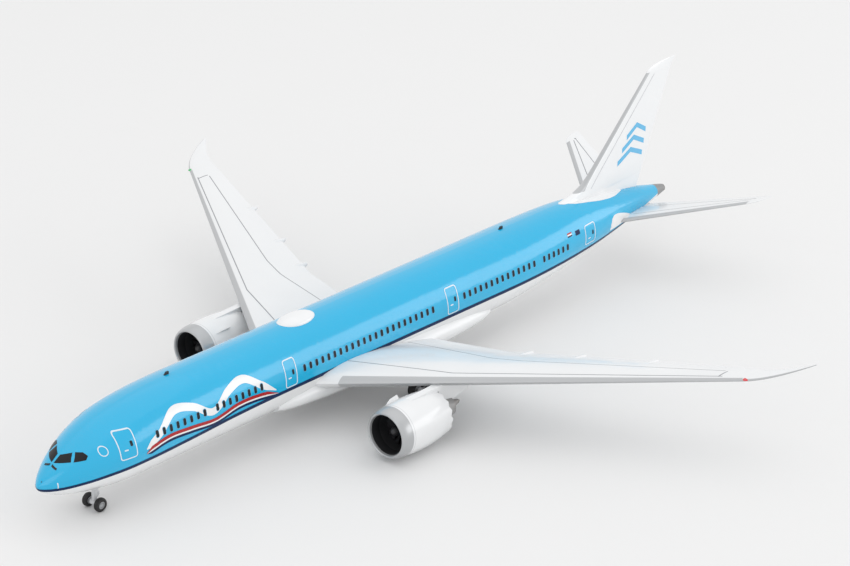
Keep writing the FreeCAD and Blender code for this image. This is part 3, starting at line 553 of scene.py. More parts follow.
@dataclass(frozen=True)
class Paintbox:
    """Every finish of the model."""

    blue: Enamel = Enamel("sky_blue_enamel", (0.004, 0.425, 0.72), 0.17, 0.45)
    white: Enamel = Enamel("white_enamel", (0.82, 0.83, 0.84), 0.2, 0.4)
    # The silver lip's inside takes the painted duct shade from station 23.7 aft.
    silver: CowlEnamel = CowlEnamel(
        "silver_lip", (0.47, 0.48, 0.49), 0.3, 0.2, 0.45, 0.0015, inside_radius=1.5, bare_until=23.7,
        seams=(24.42,))
    grey: HotMetal = HotMetal("grey_nozzle", (0.48, 0.485, 0.49), 0.34, 0.0, 0.5)
    cone: HotMetal = HotMetal("grey_tail_cone", (0.30, 0.305, 0.31), 0.36, 0.1, 0.3, hottest=(66.5, 68.0))
    cowl: CowlEnamel = CowlEnamel("cowl_enamel", (0.80, 0.81, 0.82), 0.2, 0.4)
    leg: Enamel = Enamel("leg_enamel", (0.62, 0.63, 0.65), 0.3, 0.1)
    hub: HotMetal = HotMetal("cast_hub", (0.5, 0.51, 0.53), 0.34, 0.0, 0.5, hottest=(90.0, 91.0))
    steel: SteelBar = SteelBar("drawn_steel", (0.52, 0.53, 0.55), 0.25, 0.0, 0.9)
    tyre: TyreRubber = TyreRubber("tyre_rubber", (0.012, 0.012, 0.013), 0.6, 0.0)
    fan: DarkPlastic = DarkPlastic("fan_plastic", (0.012, 0.012, 0.014), 0.4, 0.1)
    bush: DarkPlastic = DarkPlastic("bush_plastic", (0.02, 0.02, 0.022), 0.5, 0.0)
    wing: PaintedSurface = PaintedSurface(
        "wing_enamel", (0.80, 0.81, 0.82), 0.24, 0.3,
        edge_line=(22.536, 0.678, 4.0, 27.3),
        tip_edge=(22.08, 0.69, 27.5, 2.35, 2.9),
        lines=((25.808, 0.411, 2.9, 10.2), (23.287, 0.658, 10.2, 26.0), (33.043, 0.0855, 3.0, 10.6),
               (30.505, 0.325, 10.6, 12.6), (28.103, 0.5156, 12.6, 25.6)),
        cross_lines=((25.8, 40.2, 41.3),))
    fin: PaintedSurface = PaintedSurface(
        "fin_enamel", (0.84, 0.85, 0.86), 0.18, 0.5, upright=True,
        line_colour=(0.55, 0.56, 0.58), edge_line=(48.45, 1.027, 8.0, 15.7),
        lines=((49.2, 1.027, 8.0, 15.5),))
    tailplane: PaintedSurface = PaintedSurface(
        "tailplane_enamel", (0.80, 0.81, 0.82), 0.24, 0.3,
        edge_line=(58.78, 0.845, 1.5, 9.1),
        lines=((59.75, 0.79, 1.8, 9.0), (62.95, 0.47, 1.8, 9.2)),
        cross_lines=((9.15, 67.1, 67.3),))
    navy: PrintedFilm = PrintedFilm("navy_film", (0.001, 0.02, 0.085), 0.4, 0.05, specular=0.2)
    white_film: PrintedFilm = PrintedFilm("white_film", (0.84, 0.85, 0.86), 0.2, 0.6)
    pale_film: PrintedFilm = PrintedFilm("pale_film", (0.70, 0.80, 0.86), 0.25, 0.4)
    rim_film: PrintedFilm = PrintedFilm("rim_film", (0.13, 0.48, 0.76), 0.2, 0.6)
    light_blue: PrintedFilm = PrintedFilm("light_blue_film", (0.09, 0.47, 0.78), 0.2, 0.6)
    red: PrintedFilm = PrintedFilm("red_film", (0.42, 0.014, 0.016), 0.3, 0.2, specular=0.3)
    glazing: PrintedFilm = PrintedFilm("dark_glazing", (0.006, 0.007, 0.009), 0.3, 0.1, specular=0.25)
    rubber: DarkPlastic = DarkPlastic("wiper_rubber", (0.01, 0.01, 0.011), 0.5, 0.0)
    port_lamp: LampGlass = LampGlass("port_lamp", (0.5, 0.01, 0.015), 0.1, 0.8)
    starboard_lamp: LampGlass = LampGlass("starboard_lamp", (0.01, 0.32, 0.08), 0.1, 0.8)


# ---- the bench: moves that make meshes ----
class Bench:
    """The moves that every new piece is made with."""

    CLEAR = 0.1
    OFF_CENTRE = 0.00002
    HAIR = 1e-6
    SAME_POINT = 1e-9

    @staticmethod
    def edit(piece: Piece) -> None:
        """Opens a piece in edit mode with all of it selected."""
        Bench.only(piece)
        bpy.ops.object.mode_set(mode="EDIT")
        bpy.ops.mesh.select_all(action="SELECT")

    @staticmethod
    def close() -> None:
        """Leaves edit mode."""
        bpy.ops.object.mode_set(mode="OBJECT")

    @staticmethod
    def clear() -> None:
        """Leaves edit mode and deselects everything."""
        if bpy.context.object and bpy.context.object.mode != "OBJECT":
            Bench.close()
        bpy.ops.object.select_all(action="DESELECT")

    @staticmethod
    def only(piece: Piece) -> Piece:
        """Selects one piece and makes it active.

        Args:
            piece: The piece.

        Returns:
            The same piece.
        """
        Bench.clear()
        piece.select_set(True)
        bpy.context.view_layer.objects.active = piece
        return piece

    @staticmethod
    def started(name: str) -> Piece:
        """Names the primitive just added and settles its place into its mesh.

        Args:
            name: The piece's name.

        Returns:
            The new piece.
        """
        piece = bpy.context.active_object
        piece.name = name
        piece.data.name = name
        bpy.ops.object.transform_apply(location=True, rotation=True, scale=True)
        return piece

    @staticmethod
    def pick(piece: Piece, test: Callable[[Vector], bool]) -> None:
        """Selects the vertices that a test picks, in edit mode.

        Args:
            piece: The piece.
            test: Says of a point whether it is picked.
        """
        bpy.ops.object.mode_set(mode="EDIT")
        bpy.ops.mesh.select_mode(type="VERT")
        bpy.ops.mesh.select_all(action="DESELECT")
        Bench.close()
        for vertex in piece.data.vertices:
            vertex.select = test(vertex.co)
        bpy.ops.object.mode_set(mode="EDIT")

    @staticmethod
    def apply(piece: Piece, kind: str, **settings: Any) -> None:
        """Adds one modifier and applies it.

        Args:
            piece: The piece.
            kind: The modifier's type.
            settings: Its properties.
        """
        Bench.only(piece)
        modifier = piece.modifiers.new(kind.title(), kind)
        for name, setting in settings.items():
            setattr(modifier, name, setting)
        bpy.ops.object.modifier_apply(modifier=modifier.name)

    @staticmethod
    def copy(piece: Piece, name: str) -> Piece:
        """A copy with its own mesh.

        Args:
            piece: What is copied.
            name: The copy's name.

        Returns:
            The copy.
        """
        Bench.only(piece)
        bpy.ops.object.duplicate(linked=False)
        made = bpy.context.active_object
        made.name = name
        made.data.name = name
        return made

    @staticmethod
    def move(piece: Piece, shift: Vector) -> None:
        """Moves a piece's mesh and leaves the object at the origin."""
        Bench.only(piece)
        bpy.ops.transform.translate(value=shift)
        bpy.ops.object.transform_apply(location=True, rotation=True, scale=True)

    @staticmethod
    def join(pieces: list[Piece], name: str) -> Piece:
        """Joins pieces into one.

        Args:
            pieces: The pieces, of which the first one stays.
            name: The joined piece's name.

        Returns:
            The joined piece.
        """
        Bench.clear()
        for piece in pieces:
            piece.select_set(True)
        bpy.context.view_layer.objects.active = pieces[0]
        if len(pieces) > 1:
            bpy.ops.object.join()
        pieces[0].name = name
        pieces[0].data.name = name
        return pieces[0]

    @staticmethod
    def panel(name: str, x: Pair, z: Pair, corner: float, line: float = 0.0,
              cuts: int = 0) -> Piece:
        """A flat upright panel with round corners, seen from port.

        Args:
            name: The panel's name.
            x: Its first and last station.
            z: Its lowest and highest height.
            corner: Radius of its corners.
            line: Breadth of its outline, or 0 for a filled panel.
            cuts: How often its edges are divided.

        Returns:
            The panel, on the centre line.
        """
        Bench.clear()
        middle = place(sum(x) / 2, 0.0, sum(z) / 2)
        bpy.ops.mesh.primitive_plane_add(size=1.0, location=middle, rotation=(math.pi / 2, 0.0, 0.0))
        bpy.context.active_object.scale = ((x[1] - x[0]) * SCALE, (z[1] - z[0]) * SCALE, 1.0)
        piece = Bench.started(name)
        Bench.edit(piece)
        bpy.ops.mesh.bevel(offset=corner * SCALE, segments=4, affect="VERTICES")
        bpy.ops.mesh.select_all(action="SELECT")
        if line:
            bpy.ops.mesh.inset(thickness=line * SCALE, depth=0.0)
            bpy.ops.mesh.delete(type="FACE")
            bpy.ops.mesh.select_all(action="SELECT")
        else:
            bpy.ops.mesh.poke()
            bpy.ops.mesh.select_all(action="SELECT")
        if cuts:
            bpy.ops.mesh.subdivide(number_cuts=cuts)
        Bench.close()
        return piece

    @staticmethod
    def ribbon(name: str, stations: list[Triple], cuts: int = 0) -> Piece:
        """A flat upright strip, drawn out station by station and seen from port.

        Args:
            name: The strip's name.
            stations: Station, middle height and breadth at each step.
            cuts: How often it is divided along its breadth.

        Returns:
            The strip, on the centre line.
        """
        Bench.clear()
        (x0, z0, h0), (x1, z1, h1) = stations[:2]
        middle = place((x0 + x1) / 2, 0.0, z0)
        bpy.ops.mesh.primitive_plane_add(size=1.0, location=middle, rotation=(math.pi / 2, 0.0, 0.0))
        bpy.context.active_object.scale = ((x1 - x0) * SCALE, h0 * SCALE, 1.0)
        piece = Bench.started(name)
        edge = middle.x
        Bench.pick(piece, lambda point: point.x > edge)
        bpy.ops.transform.translate(value=(0.0, 0.0, (z1 - z0) * SCALE))
        bpy.ops.transform.resize(value=(1.0, 1.0, h1 / h0), center_override=place(x1, 0.0, z1))
        for (xa, za, ha), (xb, zb, hb) in zip(stations[1:], stations[2:]):
            step = Vector(((xb - xa) * SCALE, 0.0, (zb - za) * SCALE))
            bpy.ops.mesh.extrude_region_move(TRANSFORM_OT_translate={"value": step})
            bpy.ops.transform.resize(value=(1.0, 1.0, hb / ha), center_override=place(xb, 0.0, zb))
        if cuts:
            bpy.ops.mesh.select_all(action="SELECT")
            bpy.ops.mesh.subdivide(number_cuts=cuts)
        Bench.close()
        return piece

    @staticmethod
    def pane(name: str, corners: list[Triple], cuts: int = 5) -> Piece:
        """A flat pane through its corners, divided so that it can follow a curved skin.

        Args:
            name: The pane's name.
            corners: Its corners in order, as points of the aircraft.
            cuts: How often its edges are divided.

        Returns:
            The pane.
        """
        Bench.clear()
        bpy.ops.mesh.primitive_circle_add(vertices=len(corners), radius=SCALE, fill_type="TRIFAN")
        piece = Bench.started(name)
        targets = [place(*corner) for corner in corners]
        middle = sum(targets, Vector()) / len(targets)
        rim = [vertex.index for vertex in piece.data.vertices if vertex.co.length > SCALE / 2]
        centre = [vertex.index for vertex in piece.data.vertices if vertex.co.length <= SCALE / 2]
        for index, target in zip(rim + centre, targets + [middle]):
            here = piece.data.vertices[index].co.copy()
            Bench.pick(piece, lambda point: (point - here).length < Bench.SAME_POINT)
            bpy.ops.transform.translate(value=target - here)
            Bench.close()
        Bench.edit(piece)
        bpy.ops.mesh.subdivide(number_cuts=cuts)
        Bench.close()
        return piece

    @staticmethod
    def lay(piece: Piece, skin: Piece, height: float, axis: str = "Y",
            sign: int = 1) -> None:
        """Presses a flat piece on a skin as a thin film.

        A press along X or Z runs a hair off the centre line, clear of the edge that the skin has there.
        Points that miss the skin are cleared away.

        Args:
            piece: The flat piece, on the centre line.
            skin: What it is laid on.
            height: How far its face stands off the skin, in millimetres.
            axis: The axis it is pressed along.
            sign: The way it is pressed: 1 for towards the positive end.
        """
        shift = Vector([-sign * Bench.CLEAR if name == axis else 0.0 for name in "XYZ"])
        if axis != "Y":
            shift.y = Bench.OFF_CENTRE
        Bench.move(piece, shift)
        along = "XYZ".index(axis)
        start = piece.data.vertices[0].co[along]
        settings = {"use_project_x": axis == "X", "use_project_y": axis == "Y", "use_project_z": axis == "Z"}
        Bench.apply(piece, "SHRINKWRAP", target=skin, wrap_method="PROJECT", wrap_mode="ABOVE_SURFACE",
                    offset=height * MILLIMETRE, use_negative_direction=sign < 0,
                    use_positive_direction=sign > 0, **settings)
        Bench.pick(piece, lambda point: abs(point[along] - start) < Bench.HAIR)
        bpy.ops.mesh.delete(type="VERT")
        Bench.close()
        Bench.apply(piece, "SOLIDIFY", thickness=FILM_THICKNESS * MILLIMETRE, offset=-1.0)
        bpy.ops.object.shade_smooth_by_angle(angle=math.radians(50.0))

    @staticmethod
    def turn_over(piece: Piece) -> None:
        """Turns a flat piece's faces the other way."""
        Bench.edit(piece)
        bpy.ops.mesh.flip_normals()
        Bench.close()


@dataclass
class Fitter:
    """Gives finished pieces their material and body, and reports them."""

    body: str = "airframe"
    materials: dict[str, Material] = field(default_factory=dict)

    def material(self, finish: Enamel) -> Material:
        """A finish's material, made once."""
        if finish.name not in self.materials:
            self.materials[finish.name] = finish.material()
        return self.materials[finish.name]

    def paint_node(self, node: str, finish: Enamel) -> None:
        """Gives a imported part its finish.

        Args:
            node: The part's name.
            finish: Its finish.
        """
        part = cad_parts[node]
        for slot in part.material_slots:
            slot.material = self.material(finish)
        LOG.info("painted %s with %s", node, finish.name)

    def fit(self, piece: Piece, finish: Enamel, slot: Slot) -> Piece:
        """Dresses a new piece and lets it ride on the airframe.

        Args:
            piece: The finished piece.
            finish: Its finish.
            slot: The record's slot that it belongs to; not used.

        Returns:
            The piece.
        """
        piece.data.materials.clear()
        piece.data.materials.append(self.material(finish))
        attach(piece, self.body)
        LOG.info("fitted %s, %d faces", piece.name, len(piece.data.polygons))
        return piece


@dataclass
class Assembly:
    """What every sub-assembly works with."""

    fitter: Fitter
    paints: Paintbox


@dataclass
class SkinFilms(Assembly):
    """A sub-assembly of films that are laid on a skin."""

    skin: Piece

    def both_sides(self, flat: Piece, name: str, finish: Enamel, slot: Slot,
                   height: float = FILM_HEIGHT) -> None:
        """Lays a flat marking on port and a copy of it on starboard.

        Args:
            flat: The marking, flat and on the centre line.
            name: What the two pieces are called, after their side.
            finish: Their finish.
            slot: Their slot.
            height: How far they stand off the skin, in millimetres.
        """
        for side in Side:
            piece = Bench.copy(flat, f"{side.name.lower()}_{name}")
            if side is Side.STARBOARD:
                Bench.turn_over(piece)
            Bench.lay(piece, self.skin, height, "Y", -side.value)
            self.fitter.fit(piece, finish, slot)
        bpy.data.objects.remove(flat)


# ---- sub-assemblies ----
@dataclass
class Airframe(Assembly):
    """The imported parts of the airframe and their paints."""

    def dress(self) -> None:
        """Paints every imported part."""
        paints = self.paints
        plain = {
            "upper_fuselage_shell": paints.blue, "lower_fuselage_shell": paints.white,
            "belly_fairing": paints.white, "satellite_dome": paints.white, "antenna_blades": paints.bush,
            "vertical_fin": paints.fin, "tail_cone": paints.cone, "wing_spar": paints.steel,
            "assembly_screws": paints.steel, "stand_socket": paints.bush, "nose_gear_leg": paints.leg,
        }
        for node, finish in plain.items():
            self.fitter.paint_node(node, finish)
        paired = {
            "wing": paints.wing, "tailplane": paints.tailplane, "nacelle": paints.cowl,
            "inlet_lip": paints.silver, "core_nozzle": paints.grey, "fan_shaft": paints.steel,
            "fan_rotor": paints.fan, "engine_pylon": paints.white, "main_leg": paints.leg,
            "bogie_beam": paints.leg,
        }
        for node, finish in paired.items():
            for side in ("left", "right"):
                self.fitter.paint_node(f"{side}_{node}", finish)

    def dress_wheels(self) -> None:
        """Paints every axle, hub and tyre."""
        endings = {"axle": self.paints.steel, "hub": self.paints.hub, "tyre": self.paints.tyre}
        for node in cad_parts:
            for ending, finish in endings.items():
                if node.endswith(f"_{ending}"):
                    self.fitter.paint_node(node, finish)


@dataclass
class Cheatline(SkinFilms):
    """The navy line that hides the joint between the two shells."""

    line: Line = (
        (-1.0, 3.3), (0.0, 3.33), (1.0, 3.39), (2.5, 3.53), (4.5, 3.7), (6.5, 3.79), (9.0, 3.82),
        (12.0, 3.95), (16.0, 4.18), (21.0, 4.28), (35.0, 4.28), (50.0, 4.25), (56.0, 4.25),
        (59.0, 4.38), (61.5, 4.6), (64.0, 4.95), (66.0, 5.2))
    nose_steps: tuple[float, ...] = (0.07, 0.11, 0.17, 0.25, 0.36, 0.5, 0.7, 0.95, 1.25, 1.6, 2.0, 2.4, 2.8,
                                     3.2, 3.7)
    barrel_from: float = 4.2
    end: float = 61.4
    step: float = 0.5
    breadth: float = 0.27
    nose_breadth: float = 0.2
    nose_run: float = 9.0
    tail_run: float = 7.0
    nose_half: float = 0.2
    nose_at: float = 0.05

    def breadth_at(self, x: float) -> float:
        """Breadth of the line at a station.

        Args:
            x: The station.

        Returns:
            The breadth, narrower towards both ends.
        """
        nose = min(1.0, x / self.nose_run)
        tail = max(0.0, min(1.0, (self.end - x) / self.tail_run))
        return self.nose_breadth + (self.breadth - self.nose_breadth) * min(nose, tail)

    def build(self) -> None:
        """Lays the line on both sides and round the nose."""
        count = int((self.end - self.barrel_from) / self.step)
        steps = [self.barrel_from + (self.end - self.barrel_from) * i / count for i in range(count + 1)]
        stations = [(x, smooth_line(self.line, x), self.breadth_at(x)) for x in (*self.nose_steps, *steps)]
        flat = Bench.ribbon("cheatline", stations, 2)
        self.both_sides(flat, "cheatline", self.paints.navy, Slot.BLUE, CHEATLINE_HEIGHT)
        self.build_nose()

    def build_nose(self) -> None:
        """Closes the line across the tip of the nose."""
        half, z = self.nose_half, smooth_line(self.line, self.nose_at)
        low, high = z - self.nose_breadth / 2, z + self.nose_breadth / 2
        corners = [(0.0, half, low), (0.0, -half, low), (0.0, -half, high), (0.0, half, high)]
        piece = Bench.pane("nose_cheatline", corners, 7)
        Bench.lay(piece, self.skin, CHEATLINE_HEIGHT, "X", 1)
        self.fitter.fit(piece, self.paints.navy, Slot.BLUE)


@dataclass
class CabinWindows(SkinFilms):
    """Rows of cabin windows, each a dark pane in a pale rim."""

    rows: tuple[tuple[float, float, int], ...] = (
        (8.38, 12.81, 8), (14.02, 18.32, 8), (22.63, 36.21, 23), (39.72, 47.8, 14), (49.02, 52.03, 6))
    z: float = 5.42
    pane: Pair = (0.25, 0.5)
    rim: float = 0.035
    roundness: float = 0.92

    def row_positions(self) -> list[float]:
        """Stations of every window."""
        return [start + (end - start) * i / (count - 1)
                for start, end, count in self.rows for i in range(count)]

    def flat(self, name: str, grow: float) -> Piece:
        """Every window of a side as one flat piece.

        Args:
            name: The piece's name.
            grow: How much larger than the pane each one is, on every side.

        Returns:
            The joined windows, on the centre line.
        """
        half_x, half_z = self.pane[0] / 2 + grow, self.pane[1] / 2 + grow
        stations = self.row_positions()
        first = Bench.panel(name, (stations[0] - half_x, stations[0] + half_x),
                            (self.z - half_z, self.z + half_z), half_x * self.roundness)
        pieces = [first]
        for x in stations[1:]:
            piece = Bench.copy(first, name)
            Bench.move(piece, Vector(((x - stations[0]) * SCALE, 0.0, 0.0)))
            pieces.append(piece)
        return Bench.join(pieces, name)

    def build(self) -> None:
        """Lays rims and panes on both sides."""
        rims = self.flat("rims", self.rim)
        self.both_sides(rims, "window_rims", self.paints.rim_film, Slot.BLUE, RIM_HEIGHT)
        panes = self.flat("panes", 0.0)
        self.both_sides(panes, "window_panes", self.paints.glazing, Slot.BLACK, WINDOW_HEIGHT)


@dataclass
class CabinDoors(SkinFilms):
    """Outlined cabin doors, each with its window and its handle."""

    doors: tuple[tuple[float, float, float, float], ...] = (
        (5.12, 6.5, 4.5, 6.38), (20.67, 21.85, 4.45, 6.45), (37.8, 39.05, 4.45, 6.45),
        (54.45, 55.85, 4.72, 6.3))
    corner: float = 0.22
    line: float = 0.075
    window: Pair = (0.2, 0.36)
    window_in: float = 0.36
    window_up: float = 0.52
    handle: Pair = (0.3, 0.09)
    handle_in: float = 0.15
    handle_drop: float = 0.3
    handle_corner: float = 0.03

    @staticmethod
    def plate(name: str, x: float, z: float, size: Pair, corner: float) -> Piece:
        """A small panel about a station and a height."""
        wide, high = size
        return Bench.panel(name, (x - wide / 2, x + wide / 2), (z - high / 2, z + high / 2), corner)

    def build(self) -> None:
        """Lays the outlines, windows and handles on both sides."""
        outlines, windows, handles = [], [], []
        for x0, x1, z0, z1 in self.doors:
            outlines.append(Bench.panel("outline", (x0, x1), (z0, z1), self.corner, self.line, 8))
            z = z0 + (z1 - z0) * self.window_up
            windows.append(self.plate("pane", x1 - self.window_in, z, self.window, self.window[0] * 0.4))
            middle, low = (x0 + x1) / 2 - self.handle_in, z - self.handle_drop - self.handle[1] / 2
            handles.append(self.plate("handle", middle, low, self.handle, self.handle_corner))
        outline = Bench.join(outlines, "outlines")
        self.both_sides(outline, "door_outlines", self.paints.pale_film, Slot.BLUE, OUTLINE_HEIGHT)
        panes = Bench.join(windows, "panes")
        self.both_sides(panes, "door_panes", self.paints.glazing, Slot.BLACK, DOOR_PANE_HEIGHT)
        levers = Bench.join(handles, "handles")
        self.both_sides(levers, "door_handles", self.paints.pale_film, Slot.BLUE, HANDLE_HEIGHT)


@dataclass
class SideMarkings(SkinFilms):
    """The plain wave, stream, ring, bars and square on the body, and the patches at its roots."""

    swell: Line = (
        (7.3, 4.7), (8.6, 5.35), (10.2, 6.35), (11.9, 6.1), (13.6, 5.25), (15.3, 6.1), (16.9, 6.4),
        (18.3, 5.6), (19.7, 4.75))
    swell_breadth: float = 0.5
    stream: Line = (
        (7.3, 4.35), (9.4, 4.72), (11.6, 4.6), (13.8, 4.42), (16.0, 4.78), (18.0, 4.72), (19.9, 4.42))
    bands: tuple[tuple[str, float, float, float], ...] = (
        ("red", 0.2, 0.24, 6.265), ("white", 0.03, 0.12, 6.165), ("navy", -0.13, 0.2, 6.065))
    ring: tuple[Pair, Pair] = ((3.8, 4.44), (5.1, 5.74))
    ring_corner: float = 0.31
    ring_line: float = 0.06
    bar: Pair = (52.24, 52.79)
    bar_depth: float = 0.1
    bar_corner: float = 0.01
    square: tuple[Pair, Pair] = ((53.24, 53.81), (5.93, 6.28))
    square_corner: float = 0.05
    step: float = 0.12
    tailplane_root: Line = (
        (58.2, 5.2), (58.35, 5.6), (58.75, 5.83), (59.57, 5.73), (60.8, 5.31), (61.64, 4.82))
    root_foot: float = 4.7
    patch_steps: int = 18
    fin_root: Line = (
        (54.43, 0.12), (54.7, 0.36), (55.2, 0.6), (56.8, 0.82), (57.95, 0.93), (59.25, 0.9), (60.2, 0.73),
        (61.46, 0.27))

    def drawn(self, name: str, line: Line, lift: float, breadth: float,
              cuts: int) -> Piece:
        """A strip of even breadth along a smooth line.

        Args:
            name: The strip's name.
            line: Stations and heights that it runs through.
            lift: How far above the line it lies, square to it.
            breadth: Its breadth, square to the line.
            cuts: How often it is divided across.

        Returns:
            The flat strip.
        """
        start, end = line[0][0], line[-1][0]
        count = int((end - start) / self.step)
        stations = []
        for i in range(count + 1):
            x = start + (end - start) * i / count
            slope = (smooth_line(line, x + 0.02) - smooth_line(line, x - 0.02)) / 0.04
            lean = math.sqrt(1.0 + slope**2)
            fade = min(1.0, 0.12 + (x - start) / 0.5, 0.12 + (end - x) / 1.2)
            stations.append((x, smooth_line(line, x) + lift * lean * fade, breadth * lean * fade))
        return Bench.ribbon(name, stations, cuts)

    def build(self) -> None:
        """Lays the wave, the stream, the ring, the bars, the square and the patches."""
        finishes = {"red": self.paints.red, "white": self.paints.white_film, "navy": self.paints.navy}
        swell = self.drawn("swell", self.swell, 0.0, self.swell_breadth, 3)
        self.both_sides(swell, "white_wave", self.paints.white_film, Slot.WHITE)
        for name, lift, breadth, _ in self.bands:
            strip = self.drawn(name, self.stream, lift, breadth, 2)
            self.both_sides(strip, f"{name}_stream", finishes[name], Slot.BLUE, STREAM_HEIGHT)
        ring = Bench.panel("ring", *self.ring, self.ring_corner, self.ring_line)
        self.both_sides(ring, "nose_ring", self.paints.pale_film, Slot.BLUE)
        for name, _, _, low in self.bands:
            bar = Bench.panel(name, self.bar, (low, low + self.bar_depth), self.bar_corner, 0.0, 1)
            self.both_sides(bar, f"{name}_bar", finishes[name], Slot.BLUE)
        square = Bench.panel("square", *self.square, self.square_corner, 0.0, 1)
        self.both_sides(square, "dark_square", self.paints.navy, Slot.BLUE)
        self.build_patches()

    def rounded(self, points: Line) -> list[Pair]:
        """A smooth run of points through a few given ones.

        Args:
            points: The given points, in order.

        Returns:
            The run of points.
        """
        start, end = points[0][0], points[-1][0]
        steps = [start + (end - start) * i / self.patch_steps for i in range(self.patch_steps + 1)]
        return [(x, smooth_line(points, x)) for x in steps]

    def build_patches(self) -> None:
        """Lays the white patches at the roots of the fin and the tailplane."""
        lower = [(x, 0.0, self.root_foot) for x in (self.tailplane_root[0][0], self.tailplane_root[-1][0])]
        upper = [(x, 0.0, z) for x, z in self.rounded(self.tailplane_root)]
        root = Bench.pane("root", [*lower, *reversed(upper)], 5)
        self.both_sides(root, "tailplane_root_patch", self.paints.white_film, Slot.WHITE, PATCH_HEIGHT)
        halves = self.rounded(self.fin_root)
        edges = [(x, -half, 0.0) for x, half in halves] + [(x, half, 0.0) for x, half in reversed(halves)]
        patch = Bench.pane("fin_root_patch", edges, 9)
        Bench.lay(patch, self.skin, FILM_HEIGHT, "Z", -1)
        self.fitter.fit(patch, self.paints.white_film, Slot.WHITE)


@dataclass
class TailMarkings(SkinFilms):
    """Three plain light-blue chevrons on the fin."""

    start: Pair = (60.7, 9.15)
    reach: float = 1.7
    rise: float = 0.75
    spacing: float = 0.95
    lean: float = 0.55
    breadth: float = 0.42
    count: int = 3
    shrink: float = 0.12

    def build(self) -> None:
        """Lays the chevrons on both faces of the fin."""
        chevrons = []
        for i in range(self.count):
            x, z = self.start[0] + i * self.lean, self.start[1] + i * self.spacing
            reach = self.reach * (1.0 - self.shrink * i)
            stations = [(x, z, self.breadth), (x + reach, z + self.rise, self.breadth),
                        (x + 2 * reach, z, self.breadth)]
            chevrons.append(Bench.ribbon("chevron", stations, 2))
        joined = Bench.join(chevrons, "chevrons")
        self.both_sides(joined, "tail_chevrons", self.paints.light_blue, Slot.BLUE)


@dataclass
class FlightDeck(SkinFilms):
    """The flight deck's panes and wipers, the line behind the nose cap and the probe on it."""

    front: Line = ((0.09, 4.86), (0.12, 5.27), (0.76, 5.46), (1.07, 5.0))
    side: Line = ((2.22, 5.0), (2.66, 5.49), (3.0, 5.49), (3.14, 5.29), (2.92, 5.07))
    cap_line: tuple[Pair, Pair] = ((0.91, 0.97), (3.3, 3.88))
    wiper: Line = ((0.1, 4.69), (0.1, 4.79), (0.57, 4.65), (0.57, 4.56))
    probe: Line = ((-0.17, 3.86), (-0.17, 3.92), (-0.11, 3.92), (-0.11, 3.86))

    def build(self) -> None:
        """Lays the panes, the wipers, the line and the probe."""
        for side in Side:
            word, sign = side.name.lower(), side.value
            for name, corners, finish, height in (
                    ("front_pane", self.front, self.paints.glazing, FILM_HEIGHT),
                    ("wiper", self.wiper, self.paints.rubber, WIPER_HEIGHT)):
                placed = [(0.0, sign * y, z) for y, z in corners]
                piece = Bench.pane(f"{word}_{name}", placed, 7)
                if side is Side.PORT:
                    Bench.turn_over(piece)
                Bench.lay(piece, self.skin, height, "X", 1)
                self.fitter.fit(piece, finish, Slot.BLACK)
        flat = Bench.pane("side_pane", [(x, 0.0, z) for x, z in reversed(self.side)], 7)
        self.both_sides(flat, "side_pane", self.paints.glazing, Slot.BLACK)
        line = Bench.panel("tip_line", *self.cap_line, 0.02, 0.0, 6)
        self.both_sides(line, "radome_line", self.paints.pale_film, Slot.BLUE)
        probe = Bench.pane("nose_probe", [(0.0, y, z) for y, z in self.probe], 1)
        Bench.lay(probe, self.skin, PROBE_HEIGHT, "X", 1)
        self.fitter.fit(probe, self.paints.bush, Slot.BLACK)


@dataclass
class TipLamps(Assembly):
    """The red and green lamps in the wing tips."""

    x: float = 41.15
    y: float = 27.45
    z: float = 6.4
    size: Triple = (0.22, 0.3, 0.09)
    sweep: float = 55.0
    tail: Triple = (1.6, 0.8, 0.8)

    def lens(self, name: str, centre: Triple, turn: float) -> Piece:
        """A small streamlined lens.

        Args:
            name: The lens's name.
            centre: Its place.
            turn: How far it is turned about the vertical, in radians.

        Returns:
            The lens.
        """
        Bench.clear()
        bpy.ops.mesh.primitive_uv_sphere_add(segments=20, ring_count=12, radius=1.0, location=place(*centre))
        bpy.context.active_object.scale = tuple(part * SCALE for part in self.size)
        bpy.context.active_object.rotation_euler = (0.0, 0.0, turn)
        piece = Bench.started(name)
        middle = place(*centre)
        Bench.pick(piece, lambda point: point.x > middle.x)
        bpy.ops.transform.resize(value=self.tail, center_override=middle)
        Bench.close()
        bpy.ops.object.shade_smooth_by_angle(angle=math.radians(60.0))
        return piece

    def build(self) -> None:
        """Fits both lamps."""
        finishes = {Side.PORT: self.paints.port_lamp, Side.STARBOARD: self.paints.starboard_lamp}
        for side, finish in finishes.items():
            centre, turn = (self.x, side.value * self.y, self.z), side.value * math.radians(self.sweep)
            self.fitter.fit(self.lens(f"{side.name.lower()}_tip_lamp", centre, turn), finish, Slot.BLACK)


